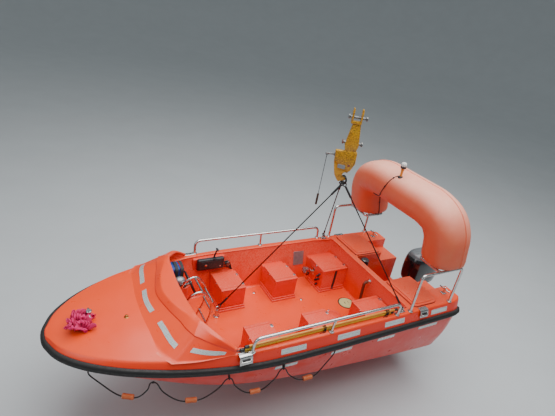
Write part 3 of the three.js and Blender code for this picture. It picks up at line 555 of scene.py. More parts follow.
class Look(Enum):
    """Every finish on the boat."""

    # Glass-fibre gelcoat: glossy and deep red-orange, lightened to coral on faces that look up, partly by
    # the sun's chalking and partly as painted top light and sky reflection, with a slightly wavy skin from
    # the mould.
    GELCOAT = Coat("polyester_gelcoat", "orange_gelcoat", "#ea2a08", "#e22005", 420.0, "#fb5520", 0.85,
                   "#f6a487", 0.4, (0.26, 0.46), 1.6, 0.04, 240.0, 1.2, coat=0.08)
    # The same gelcoat inside the cockpit, scuffed by boots. Its redder colour is painted shade, and faces
    # that look up are lightened, partly by sun bleaching and partly as painted top light.
    SHADED_LINER = Coat("shaded_liner_gelcoat", "orange_gelcoat", "#e21c06", "#da1703", 260.0, "#f23c12", 0.7,
                 "#f2977a", 0.4, (0.36, 0.58), 1.6, 0.06, 180.0, 0.8, coat=0.04)
    # Polyurethane skin over foam, faded by the sun to salmon and lighter still on faces that look up, partly
    # sun bleaching and partly painted top light, with a fine leathery grain.
    SKIN = Coat("faded_top_lit_foam_skin", "arch_skin", "#e2603e", "#e06844", 160.0, "#f6b39c", 0.9,
                "#f0b09a", 0.35, (0.42, 0.6), 4.0, 0.12, 90.0, 1.4)
    # Polished 316 stainless tube: mirror-like with faint drawn lines and tea stains.
    STAINLESS = Coat("polished_stainless", "stainless_steel", "#dcdddd", "#cbcac6", 70.0,
                     worn="#7a6a58", wear=0.25, gloss=(0.14, 0.34), grain_mm=1.2, grain_deep=0.012,
                     metallic=1.0, brushed=14.0)
    # Galvanised steel: dull grey with a mottled spangle.
    GALVANISED = Coat("galvanised_steel", "stainless_steel", "#8f9290", "#74777a", 12.0,
                      worn="#5a4636", wear=0.4, gloss=(0.4, 0.62), grain_mm=2.5, grain_deep=0.06,
                      metallic=1.0)
    # Extruded EPDM rubber: deep black, scraped grey, and greyer along its crown, partly dust and partly
    # painted top light.
    RUBBER = Coat("extruded_rubber", "black_rubber", "#0e0d0e", "#161415", 60.0, "#262524", 0.35,
                  "#44423e", 0.4, (0.5, 0.78), 2.2, 0.08, 90.0, 0.6)
    # Rust-brown rubber hose, dull, and lighter on faces that look up, partly sun bleaching and partly
    # painted top light.
    BROWN_HOSE = Coat("brown_rubber_hose", "black_rubber", "#6a2c1e", "#552218", 40.0, "#8a4a34", 0.5,
                      gloss=(0.45, 0.7), grain_mm=2.0, grain_deep=0.08)
    # Moulded ABS: black with a leather grain and a soft gloss, greyer on faces that look up, partly sun
    # bleaching and partly painted top light.
    PLASTIC = Coat("moulded_abs", "black_plastic", "#141518", "#1b1c1f", 80.0, "#34353a", 0.35,
                   "#4a4a4a", 0.4, (0.36, 0.55), 1.4, 0.07)
    # Chipped yellow enamel over forged steel, lighter on faces that look up, partly sun bleaching and
    # partly painted top light.
    YELLOW = Coat("yellow_enamel", "yellow_paint", "#d79c02", "#c68a01", 60.0, "#e6b412", 0.5,
                  "#4e3818", 0.85, (0.25, 0.5), 5.0, 0.10, 50.0, 0.5, coat=0.3)
    # Dark red primer on pin heads.
    PRIMER = Coat("red_primer", "yellow_paint", "#7a2418", "#5f1c14", 20.0, worn="#8c8478", wear=0.6,
                  gloss=(0.4, 0.6), grain_mm=2.0, grain_deep=0.06)
    # Glass-fibre pole tubes, yellow, drawn smooth, lighter on faces that look up, partly sun bleaching
    # and partly painted top light.
    POLE = Coat("yellow_glass_fibre", "yellow_plastic", "#ecc21a", "#e3b30f", 90.0, "#f6dc5c", 0.5,
                "#8a6a20", 0.4, (0.25, 0.42), 0.9, 0.02, coat=0.2, brushed=12.0)
    # The amber pole, lighter on faces that look up, partly sun bleaching and partly painted top light.
    AMBER_POLE = Coat("amber_glass_fibre", "yellow_plastic", "#e08a1c", "#d87d12", 90.0, "#f0ad4a",
                      0.5, "#8a5a20", 0.4, (0.25, 0.42), 0.9, 0.02, coat=0.2, brushed=12.0)
    # Black stoved enamel on the motor, with an orange-peel skin, greyer on faces that look up, partly sun
    # bleaching and partly painted top light.
    ENAMEL = Coat("black_enamel", "motor_paint", "#101216", "#16181c", 120.0, "#2c2f34", 0.5,
                  "#6d6f70", 0.6, (0.14, 0.3), 2.5, 0.05, 60.0, 0.4, coat=0.8)
    # Grey over the motor cover's top, which stands for the sky's reflection on the black cover: painted
    # reflection. Its faces that look up are lighter still, partly sun bleaching and partly painted top light.
    SKY_REFLECTION_GREY = Coat("painted_sky_reflection_grey", "motor_paint", "#5d6266", "#53585c", 90.0, "#7d8386", 0.5,
                       "#9a9b99", 0.5, (0.24, 0.4), 2.2, 0.05, 60.0, 0.4, coat=0.5)
    ALLOY = Coat("cast_alloy", "motor_paint", "#43474c", "#393d41", 50.0, worn="#8e9192", wear=0.6,
                 gloss=(0.34, 0.5), grain_mm=1.8, grain_deep=0.08)
    # Brass, dulled brown by salt.
    BRASS = Coat("dull_brass", "stainless_steel", "#a9854a", "#7d6238", 14.0, gloss=(0.3, 0.5),
                 grain_mm=1.5, grain_deep=0.03, metallic=1.0)
    # Aged polyethylene hatch: pale yellow-green, lighter on faces that look up, partly sun bleaching and
    # partly painted top light.
    HATCH = Coat("aged_polyethylene", "black_plastic", "#c6c47c", "#aeb06a", 26.0, "#dcd9a0", 0.5,
                 gloss=(0.4, 0.6), grain_mm=1.5, grain_deep=0.08)
    # Anodised aluminium plates: satin grey, left bare.
    ANODISED = Coat("anodised_aluminium", "stainless_steel", "#a3a7aa", "#94989b", 40.0,
                    gloss=(0.35, 0.5), grain_mm=0.9, grain_deep=0.012, metallic=0.7, brushed=18.0)
    # Woven polyester webbing straps, greyer on faces that look up, partly sun bleaching and partly painted
    # top light.
    WEBBING = Coat("black_webbing", "black_rubber", "#1d1e21", "#292a2c", 16.0, "#43444a", 0.4,
                   gloss=(0.7, 0.85), grain_mm=2.4, grain_deep=0.3, brushed=3.0)
    # Blue coated fabric of a stowed bag, lighter on faces that look up, partly sun bleaching and partly
    # painted top light.
    BLUE_BAG = Coat("blue_coated_fabric", "black_rubber", "#1d3f8f", "#173272", 60.0, "#2f58ad", 0.5,
                    gloss=(0.5, 0.7), grain_mm=1.8, grain_deep=0.15, wave_mm=70.0, wave_deep=3.0)
    TAPE = Lattice("retroreflective_tape", "stainless_steel", "#dfe7e6", "#a9b4b5", 9.0)
    # Greased galvanised wire rope of the sling, six strands.
    WIRE = Laid("greased_wire_rope", "wire_rope", "#3c3a36", "#0c0b0a", 6, 90.0, 0.9, 0.45, 0.7)
    # Black heat-shrink sleeves, greyer on faces that look up, partly sun bleaching and partly painted top
    # light.
    SLEEVE = Coat("black_heat_shrink", "wire_rope", "#0f1012", "#17181a", 40.0, "#2c2c2e", 0.4,
                  gloss=(0.35, 0.55), grain_mm=4.0, grain_deep=0.12)
    # Dark braided polypropylene line.
    LINE = Laid("braided_dark_line", "lifeline_rope", "#2b2c2e", "#08080a", 8, 60.0, 0.6, 0.78,
                braided=True)
    # Closed-cell foam floats, their orange darkened to a brownish amber as painted shade, and lighter on
    # faces that look up, partly sun bleaching and partly painted top light.
    FLOAT = Coat("foam_float", "arch_skin", "#c4541c", "#a94512", 30.0, "#d87a44", 0.5, "#e6b08a",
                 0.4, (0.5, 0.7), 2.0, 0.15)
    GRIP = Coat("brown_wood_grip", "lifeline_rope", "#4a2c1c", "#382014", 20.0, gloss=(0.4, 0.6),
                grain_mm=2.5, grain_deep=0.12, brushed=8.0)
    # Plain-woven dyed cotton, limp and crumpled, with a shaded tone of its magenta painted in random patches
    # and along the weave: painted shade. The threads are drawn three times as coarse as real ones, so that
    # they show.
    MAGENTA = Woven("magenta_cotton", "magenta_cloth", "#e61c72", "#b20f48", 1.8, 0.08)
    LENS = Clear("milky_lens", "black_plastic", "#eef3f1", 0.35, 0.18)
    GLASS = Clear("lamp_glass", "black_plastic", "#dfe6ea", 0.85, 0.05)
    # Cement-grey studio floor.
    STUDIO = Coat("studio_paper", "stainless_steel", "#c2c6c8", "#bfc3c5", 900.0, gloss=(0.85, 0.95),
                  grain_mm=3.0, grain_deep=0.02)

    @property
    def finish(self) -> Finish:
        """The finish that this name stands for."""
        return self.value


# Shapes.


class Form:
    """A mesh in the making, in metres in the part's frame."""

    def __init__(self) -> None:
        """Starts an empty mesh."""
        self.mesh = bmesh.new()
        self.flow = self.mesh.verts.layers.float_vector.new("flow")

    def skin(self, rings: Sequence[Ring], caps: bool = True) -> "Form":
        """Extrudes the first ring through all the others.

        Args:
            rings: loops of places, of one count.
            caps: whether the first and last loops are filled.

        Returns:
            The form itself.
        """
        row = [self.mesh.verts.new(place) for place in rings[0]]
        edges = [self.mesh.edges.new(pair) for pair in zip(row, row[1:] + row[:1])]
        if caps:
            self.mesh.faces.new(reversed(row))
        for ring in rings[1:]:
            grown = bmesh.ops.extrude_edge_only(self.mesh, edges=edges)["geom"]
            fresh = {item for item in grown if isinstance(item, bmesh.types.BMVert)}
            row = [self.partner(vert, fresh) for vert in row]
            for vert, place in zip(row, ring):
                vert.co = place
            members = set(row)
            lines = [item for item in grown if isinstance(item, bmesh.types.BMEdge)]
            edges = [line for line in lines if all(end in members for end in line.verts)]
        if caps:
            self.mesh.faces.new(row)
        return self

    @staticmethod
    def partner(vert: bmesh.types.BMVert, fresh: set[bmesh.types.BMVert]) -> bmesh.types.BMVert:
        """Returns the fresh vertex that an extrusion joined to this one."""
        return next(end for line in vert.link_edges for end in [line.other_vert(vert)] if end in fresh)

    def block(self, low: Vector, high: Vector, radius: float = 0.0, steps: int = 3) -> "Form":
        """Adds a box with rounded edges.

        Args:
            low: its lowest corner.
            high: its highest corner.
            radius: its edges' radius in millimetres.
            steps: how many faces go round an edge.

        Returns:
            The form itself.
        """
        matrix = Matrix.Translation((low + high) / 2) @ Matrix.Diagonal((*(high - low), 1.0))
        made = bmesh.ops.create_cube(self.mesh, size=1.0, matrix=matrix)
        if radius > 0:
            self.round_off(made["verts"], radius, steps)
        return self

    def round_off(self, verts: Iterable[bmesh.types.BMVert], radius: float, steps: int) -> None:
        """Bevels every edge among some vertices.

        Args:
            verts: the vertices whose edges are rounded.
            radius: the bevel's width in millimetres.
            steps: how many faces go round an edge.
        """
        self.bevel({line for vert in verts for line in vert.link_edges}, radius, steps)

    def bevel(self, lines: Iterable[bmesh.types.BMEdge], width: float, steps: int) -> None:
        """Rounds some edges.

        Args:
            lines: the edges.
            width: the bevel's width in millimetres.
            steps: how many faces go round an edge.
        """
        bmesh.ops.bevel(self.mesh, geom=list(lines), offset=mm(width), offset_type="OFFSET",
                        affect="EDGES", segments=steps, profile=0.5, material=-1, clamp_overlap=True)

    def bar(self, start: Vector, end: Vector, radius: float, sides: int = 20, tip: float | None = None,
            soft: float = 0.0) -> "Form":
        """Adds a round bar, which may taper.

        Args:
            start: the middle of its foot.
            end: the middle of its top.
            radius: its radius at the foot, in millimetres.
            sides: how many faces go round it.
            tip: its radius at the top, if another.
            soft: the radius of its rim, in millimetres.

        Returns:
            The form itself.
        """
        tip = radius if tip is None else tip
        along = end - start
        turn = UP.rotation_difference(along).to_matrix().to_4x4()
        matrix = Matrix.Translation((start + end) / 2) @ turn
        made = bmesh.ops.create_cone(self.mesh, cap_ends=True, segments=sides, radius1=mm(radius),
                                     radius2=mm(tip), depth=along.length, matrix=matrix)
        if soft > 0:
            faces = {face for vert in made["verts"] for face in vert.link_faces}
            rims = {line for face in faces if len(face.verts) > 4 for line in face.edges}
            self.bevel(rims, soft, 2)
        return self

    def upright(self, x: float, y: float, low: float, high: float, radius: float, sides: int,
                tip: float | None = None, soft: float = 0.0) -> "Form":
        """Adds a bar that stands upright between two heights of the drawing."""
        return self.bar(boat(x, y, low), boat(x, y, high), radius, sides, tip, soft)

    def ball(self, centre: Vector, radii: Point, sides: int = 20) -> "Form":
        """Adds a ball or an egg, whose radii are in millimetres."""
        matrix = Matrix.Translation(centre) @ Matrix.Diagonal((*(mm(r) for r in radii), 1.0))
        bmesh.ops.create_uvsphere(self.mesh, u_segments=sides, v_segments=sides // 2, radius=1.0,
                                  matrix=matrix)
        return self

    def turned(self, profile: Sequence[Flat], centre: Vector, axis: Vector = UP,
               steps: int = 28) -> "Form":
        """Adds a turned shape.

        Args:
            profile: pairs of radius and distance along the axis, in millimetres.
            centre: where the axis starts.
            axis: its direction.
            steps: how many faces go round it.

        Returns:
            The form itself.
        """
        turn = UP.rotation_difference(axis)
        places = [centre + turn @ Vector((mm(radius), 0, mm(high))) for radius, high in profile]
        verts = [self.mesh.verts.new(place) for place in places]
        lines = [self.mesh.edges.new(pair) for pair in zip(verts, verts[1:])]
        bmesh.ops.spin(self.mesh, geom=verts + lines, cent=centre, axis=turn @ UP, angle=2 * math.pi,
                       steps=steps, use_merge=True)
        bmesh.ops.remove_doubles(self.mesh, verts=self.mesh.verts, dist=2e-5)
        return self

    def tube(self, path: Sequence[Vector], radius: float | Callable[[float], float], sides: int = 12,
             loop: bool = False, shape: Sequence[Flat] | None = None) -> "Form":
        """Sweeps a circle or another outline along a path, and notes how it flows.

        Args:
            path: the places that the tube's middle passes.
            radius: its radius in millimetres, or a function of the share of its length.
            sides: how many faces go round it.
            loop: whether the path closes on itself.
            shape: an outline of (side, up) pairs for a radius of 1, in place of the circle.

        Returns:
            The form itself.
        """
        outline = shape or [(math.cos(t), math.sin(t)) for t in turns(sides)]
        count = len(path)
        rings, marks = [], []
        normal: Vector | None = None
        run = 0.0
        for index, place in enumerate(path):
            before = path[index - 1] if index or loop else place
            after = path[(index + 1) % count] if index < count - 1 or loop else place
            along = (after - before).normalized()
            if normal is None:
                normal = UP if abs(along.z) < 0.9 else Vector((1, 0, 0))
            normal = (normal - along * normal.dot(along)).normalized()
            across = along.cross(normal)
            size = radius(index / (count - 1)) if callable(radius) else radius
            rings.append([place + (across * side + normal * up) * mm(size) for side, up in outline])
            run += (place - path[index - 1]).length if index else 0.0
            marks.extend(Vector((side, up, run)) for side, up in outline)
        if loop:
            rings.append(rings[0])
            marks.extend(marks[: len(outline)])
        known = len(self.mesh.verts)
        self.skin(rings, not loop)
        self.mesh.verts.ensure_lookup_table()
        for vert, mark in zip(self.mesh.verts[known:], marks):
            vert[self.flow] = mark
        if loop:
            bmesh.ops.remove_doubles(self.mesh, verts=self.mesh.verts, dist=1e-6)
        return self

    def plate(self, outline: Sequence[Vector], thick: Vector, radius: float = 0.0, steps: int = 2) -> "Form":
        """Adds a flat plate.

        Args:
            outline: its corners.
            thick: its thickness, as a direction and length.
            radius: its edges' radius in millimetres.
            steps: how many faces go round an edge.

        Returns:
            The form itself.
        """
        face = self.mesh.faces.new([self.mesh.verts.new(place) for place in outline])
        grown = bmesh.ops.extrude_face_region(self.mesh, geom=[face], use_keep_orig=True)["geom"]
        top = [item for item in grown if isinstance(item, bmesh.types.BMVert)]
        bmesh.ops.translate(self.mesh, vec=thick, verts=top)
        if radius > 0:
            self.round_off(list(face.verts) + top, radius, steps)
        return self

    def from_node(self, name: str) -> "Form":
        """Takes in a merged copy of a CAD node's mesh."""
        self.mesh.from_mesh(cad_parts[name].data)
        bmesh.ops.remove_doubles(self.mesh, verts=self.mesh.verts, dist=1e-5)
        flat = math.radians(1.0)
        bmesh.ops.dissolve_limit(self.mesh, angle_limit=flat, verts=self.mesh.verts,
                                 edges=self.mesh.edges)
        return self

    def piece(self, name: str, look: Look, body: str = "boat", replaces: Sequence[str] = (),
              angle: float = 35.0, bevel: float = 0.0, subdivide: int = 0) -> bpy.types.Object:
        """Turns the form into a finished piece of the boat.

        Args:
            name: the piece's name.
            look: its finish.
            body: the body that it moves with.
            replaces: the CAD nodes that it stands for.
            angle: edges sharper than this many degrees stay sharp.
            bevel: the width in millimetres of a bevel on the sharp edges.
            subdivide: the levels of a smooth subdivision.

        Returns:
            The new object.
        """
        made = self.bare(name)
        made.data.materials.append(look.finish.material())
        finish_mesh(made, angle, bevel, subdivide)
        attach(made, body)
        if replaces:
            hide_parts(*replaces)
        LOG.info("%-28s %6d faces", name, len(made.data.polygons))
        return made

    def bare(self, name: str, outward: bool = True) -> bpy.types.Object:
        """Turns the form into a bare object of the scene.

        Args:
            name: the object's name.
            outward: whether its faces are turned outwards.

        Returns:
            The new object.
        """
        if outward:
            bmesh.ops.recalc_face_normals(self.mesh, faces=self.mesh.faces)
        data = bpy.data.meshes.new(name)
        self.mesh.to_mesh(data)
        self.mesh.free()
        made = bpy.data.objects.new(name, data)
        bpy.context.scene.collection.objects.link(made)
        return made


def turns(count: int) -> list[float]:
    """Returns that many equal angles round a circle."""
    return [2 * math.pi * index / count for index in range(count)]


def finish_mesh(made: bpy.types.Object, angle: float, bevel: float, subdivide: int) -> None:
    """Shades a piece smooth up to an angle, with its bevel and subdivision.

    Args:
        made: the piece.
        angle: edges sharper than this many degrees stay sharp.
        bevel: the bevel's width in millimetres, 0 for none.
        subdivide: the levels of the subdivision, 0 for none.
    """
    if bevel > 0:
        modifier = made.modifiers.new("edges", "BEVEL")
        modifier.width = mm(bevel)
        modifier.segments = 2
        modifier.limit_method = "ANGLE"
        modifier.angle_limit = math.radians(angle)
        modifier.use_clamp_overlap = True
        modifier.harden_normals = True
    if subdivide > 0:
        modifier = made.modifiers.new("smooth", "SUBSURF")
        modifier.levels = subdivide
        modifier.render_levels = subdivide
    made.data.shade_smooth()
    made.data.set_sharp_from_angle(angle=math.radians(angle))


def settle(made: bpy.types.Object) -> None:
    """Applies a piece's modifiers to its mesh."""
    graph = bpy.context.evaluated_depsgraph_get()
    fresh = bpy.data.meshes.new_from_object(made.evaluated_get(graph))
    made.modifiers.clear()
    made.data = fresh


def cut(made: bpy.types.Object, forms: Iterable[Form], angle: float, crossing: bool = False) -> None:
    """Cuts forms out of a piece, and shades it again.

    Args:
        made: the piece that is cut.
        forms: closed forms.
        angle: edges sharper than this many degrees stay sharp.
        crossing: whether the piece is made of bodies that cross each other.
    """
    tools = [form.bare("tool") for form in forms]
    for tool in tools:
        modifier = made.modifiers.new("cut", "BOOLEAN")
        modifier.operation = "DIFFERENCE"
        modifier.solver = "EXACT"
        modifier.use_self = crossing
        modifier.object = tool
    settle(made)
    for tool in tools:
        bpy.data.objects.remove(tool)
    finish_mesh(made, angle, 0.0, 0)


# Mouldings.

HULL: list[list[float]] = [
    [0, -120, 700, 55, 838, 740, 892, 905],
    [45, -120, 728, 60, 872, 740, 892, 905],
    [150, -120, 740, 68, 892, 740, 892, 905],
    [1050, -120, 748, 150, 898, 740, 892, 905],
    [2000, -120, 748, 245, 900, 740, 892, 905],
    [2600, -116, 742, 330, 892, 745, 892, 905],
    [2950, -92, 722, 395, 866, 757, 892, 905],
    [3250, -40, 680, 460, 826, 778, 895, 940],
    [3550, 60, 606, 530, 764, 800, 897, 968],
    [3800, 190, 510, 592, 682, 810, 893, 962],
    [4000, 325, 410, 640, 590, 810, 884, 942],
    [4180, 465, 300, 680, 480, 806, 872, 917],
    [4320, 585, 195, 712, 362, 800, 860, 892],
    [4420, 670, 110, 735, 240, 795, 849, 870],
    [4480, 715, 45, 745, 110, 790, 838, 848],
]

# Two more rows round off the stem over the fender.
STEM: list[list[float]] = [
    [4492, 724, 30, 748, 76, 790, 834, 843],
    [4499, 733, 14, 752, 42, 790, 826, 834],
]


def mirrored(x: float, half: Sequence[Sequence[float]]) -> list[Vector]:
    """Closes a half section, which starts and ends on the centre line, to both sides."""
    port = [boat(x, y, z) for y, z in half]
    starboard = [boat(x, -y, z) for y, z in reversed(half) if y > 1e-6]
    return port + starboard


def side_bend(chine_y: float, chine_z: float, sheer: float, joint: float) -> list[list[float]]:
    """Returns the hull's side over its chine: the ledge's outer edge, and where the side bends.

    Args:
        chine_y: the chine's half breadth.
        chine_z: the chine's height.
        sheer: the sheer's half breadth.
        joint: the height at which hull and deck meet.

    Returns:
        Two pairs of half breadth and height.
    """
    rise = joint - BAND - chine_z - 16
    bend = [chine_y + 14 + (sheer - chine_y - 14) * 0.72, chine_z + 16 + rise * 0.5]
    return [[chine_y + 14, chine_z + 16], bend]


def edge_breadth(sheer: float) -> float:
    """Returns the half breadth of the deck's outer edge at a station, from the sheer's."""
    return max(sheer - 26, sheer * 0.8)


@dataclass
class Mouldings:
    """The hull, the deck and the cockpit's liner.

    Attributes:
        stations: rows of distance, keel, chine half breadth and height, sheer half breadth,
            joint, deck edge and crown.
        cockpit: rows of distance, floor half breadth and top half breadth.
        well: the engine well's half breadth.
        splay: the half breadth of the notch over it, at the transom.
    """

    stations: list[list[float]] = field(default_factory=lambda: smooth_table(HULL, 6) + STEM)
    cockpit: list[list[float]] = field(default_factory=lambda: [
        [850, 665, 790], [2600, 665, 790], [2950, 640, 768], [3250, 520, 700], [3480, 360, 590]])
    well: float = 285.0
    splay: float = 590.0

    def build(self) -> None:
        """Builds the mouldings, and cuts the cockpit and the well out of them."""
        cut(self.hull(), self.rooms(), 32.0)
        cut(self.deck(), self.rooms(), 32.0)

    def hull(self) -> bpy.types.Object:
        """Builds the hull's outside, with rounded chines and a soft forefoot."""
        rings = []
        for x, keel, chine_y, chine_z, sheer, joint, _edge, _crown in self.stations:
            corners = [[0, keel], [chine_y * 0.5, keel + (chine_z - keel) * 0.42], [chine_y, chine_z]]
            corners += [*side_bend(chine_y, chine_z, sheer, joint), [sheer, joint - BAND]]
            corners += [[sheer, joint], [0, joint]]
            half = rounded(corners, [0, 120, 9, 9, 160, 0, 0, 0], 4)
            rings.append(mirrored(x, half))
        return Form().skin(rings).piece("hull_moulding", Look.GELCOAT, replaces=["hull"])

    def deck(self) -> bpy.types.Object:
        """Builds the deck moulding, with a rounded edge over the fender."""
        rings = []
        for x, _keel, _chine_y, _chine_z, sheer, joint, edge, crown in self.stations:
            foot = joint + 0.3
            shoulder_y = max(sheer - 44, sheer * 0.65)
            shoulder = edge + min(13, crown - edge)
            quarter = shoulder + (crown - shoulder) * 0.8
            corners = [[0, foot], [sheer, foot], [sheer, joint + BAND], [edge_breadth(sheer), edge]]
            corners += [[shoulder_y, shoulder], [sheer * 0.5, quarter], [0, crown]]
            half = rounded(corners, [0, 0, 8, 12, 12, 120, 0], 4)
            rings.append(mirrored(x, half))
        return Form().skin(rings).piece("deck_moulding", Look.GELCOAT, replaces=["deck"])

    def rooms(self) -> list[Form]:
        """Builds what is cut out: the cockpit, the well and its notches."""
        rings = []
        for x, floor, top in smooth_table(self.cockpit, 5):
            corners = [[0, FLOOR], [floor, FLOOR], [top, GUNWALE], [top, 1100], [0, 1100]]
            rings.append(mirrored(x, rounded(corners, [0, 34, 0, 0, 0], 5)))
        room = Form().skin(rings)
        self.round_ends(room)
        w, splay = self.well, self.splay
        inner = Form().block(boat(60, -w, 300), boat(775, w, 1100), 22)
        notch = Form().block(boat(-50, -w, 430), boat(340, w, 1100), 14)
        wings = Form().block(boat(-50, -splay, 770), boat(345, splay, 1100), 18)
        return [room, inner, notch, wings]

    def round_ends(self, room: Form) -> None:
        """Rounds the cockpit's corners at its two bulkheads."""
        lines = []
        ends = [boat(row[0], 0, 0).x for row in (self.cockpit[0], self.cockpit[-1])]
        for line in room.mesh.edges:
            for end in ends:
                if all(abs(vert.co.x - end) < 1e-5 for vert in line.verts):
                    lines.append(line)
        room.bevel(lines, 28, 4)


# Camera, light and floor.


@dataclass
class Studio:
    """The camera, the floor and the lights.

    Attributes:
        eye: the camera's place in the part's frame.
        target: what it looks at.
        roll: how far it leans, in radians.
        lens: its focal length in millimetres, for a 36 mm film.
        floor: the floor's height in the part's frame.
    """

    eye: Point = (2.220, 3.398, 3.646)
    target: Point = (-1.388, -2.329, 0.42)
    roll: float = 0.181
    lens: float = 28.2504
    floor: float = -0.66

    def build(self) -> None:
        """Builds all of it."""
        self.camera()
        self.ground()
        self.light("overhead", (-1.0, 0.5, 7.5), 9.0, 1050.0)
        self.light("bow_side", (6.5, 1.5, 4.0), 3.0, 70.0)
        world = bpy.data.worlds.new("studio")
        bpy.context.scene.world = world
        world.use_nodes = True
        shade = world.node_tree.nodes["Background"]
        shade.inputs["Color"].default_value = linear("#dde5e8")
        shade.inputs["Strength"].default_value = 0.5

    def camera(self) -> None:
        """Places the camera where the photograph was taken from."""
        eye, target = Vector(self.eye), Vector(self.target)
        ahead = (target - eye).normalized()
        right = ahead.cross(UP).normalized()
        up = right.cross(ahead)
        c, s = math.cos(self.roll), math.sin(self.roll)
        across, above = right * c + up * s, up * c - right * s
        data = bpy.data.cameras.new("camera")
        data.lens = self.lens
        data.sensor_width = 36.0
        data.clip_end = 200.0
        made = bpy.data.objects.new("camera", data)
        turn = Matrix((across, above, -ahead)).transposed().to_4x4()
        made.matrix_world = Matrix.Translation(eye) @ turn
        bpy.context.scene.collection.objects.link(made)
        bpy.context.scene.camera = made

    def ground(self) -> None:
        """Lays the pale floor, which turns up far away, so that its edge never shows."""
        bowl = [(0, 0), (24000, 0), (30000, 900), (35000, 3600), (38500, 8500), (40000, 15000),
                (40500, 26000)]
        form = Form().turned(bowl, Vector((0, 0, self.floor)), steps=64)
        made = form.bare("studio_floor", outward=False)
        made.data.shade_smooth()
        made.data.materials.append(Look.STUDIO.finish.material())

    def light(self, name: str, place: Point, size: float, power: float) -> None:
        """Adds a soft square light that looks at the boat.

        Args:
            name: the light's name.
            place: where it stands.
            size: its side in metres.
            power: its power in watts.
        """
        data = bpy.data.lights.new(name, "AREA")
        data.size = size
        data.energy = power
        made = bpy.data.objects.new(name, data)
        made.location = place
        aim = Vector((0, 0, 0.4)) - Vector(place)
        made.rotation_euler = aim.to_track_quat("-Z", "Y").to_euler()
        bpy.context.scene.collection.objects.link(made)


# Fender, cowl and tapes.


@dataclass
class Fender:
    """The black D-section fender round the sheer.

    Attributes:
        profile: pairs of depth and height about the joint.
        bends: how far each corner of the profile is rounded.
    """

    profile: list[list[float]] = field(default_factory=lambda: [
        [0, -38], [24, -36], [37, -16], [37, 16], [24, 36], [0, 38]])
    bends: tuple[float, ...] = (0, 9, 14, 14, 9, 0)

    def line(self) -> list[Vector]:
        """Returns the sheer from the port quarter round the bow, in millimetres."""
        table = [[row[0], row[4], row[5]] for row in smooth_table(HULL, 4)]
        port = [Vector(row) for row in table]
        nose = [Vector((4490, 70, 790)), Vector((4494, 34, 790)), Vector((4495, 0, 790))]
        starboard = [Vector((spot.x, -spot.y, spot.z)) for spot in reversed(port + nose[:2])]
        return port + nose + starboard

    def build(self) -> None:
        """Sweeps the profile round the sheer, and lays its raised wear strip."""
        line = self.line()
        profile = rounded(self.profile, self.bends, 3)
        rings = []
        for index, spot in enumerate(line):
            out = self.outward(line, index)
            rings.append(drawn(spot + out * (depth + 0.5) + Vector((0, 0, high)) for depth, high in profile))
        Form().skin(rings).piece("fender", Look.RUBBER, angle=50.0,
                                 replaces=["fender_port", "fender_starboard", "fender_bow"])
        self.groove(line)

    @staticmethod
    def outward(line: Sequence[Vector], index: int) -> Vector:
        """Returns the level direction that points away from the boat at a spot of the sheer."""
        along = line[min(index + 1, len(line) - 1)] - line[max(index - 1, 0)]
        return Vector((along.y, -along.x, 0)).normalized() * -1

    def groove(self, line: Sequence[Vector]) -> None:
        """Lays the raised wear strip along the fender's face."""
        rings = []
        shape = rounded([[36.4, -9], [40.5, -6], [40.5, 6], [36.4, 9]], (0, 3, 3, 0), 2)
        for index, spot in enumerate(line):
            out = self.outward(line, index)
            rings.append(drawn(spot + out * depth + Vector((0, 0, high)) for depth, high in shape))
        Form().skin(rings).piece("fender_strip", Look.RUBBER, angle=50.0)


# The cowl's foot, step, crease and rim, from the centre line round to its port end.
COWL_SPOKES: list[list[Point]] = [
    [(3715, 0, 952), (3518, 0, 1060), (3464, 0, 1108), (3310, 0, 1120)],
    [(3700, 240, 949), (3474, 236, 1060), (3426, 222, 1110), (3304, 200, 1122)],
    [(3672, 440, 938), (3412, 440, 1060), (3348, 410, 1112), (3292, 370, 1126)],
    [(3620, 615, 922), (3390, 540, 1060), (3324, 480, 1112), (3286, 450, 1130)],
    [(3540, 742, 905), (3346, 645, 1054), (3284, 570, 1112), (3264, 548, 1130)],
    [(3318, 796, 904), (3192, 752, 1004), (3146, 744, 1048), (3130, 724, 1058)],
    [(3010, 830, 905), (3006, 822, 930), (3002, 818, 950), (2990, 808, 953)],
]


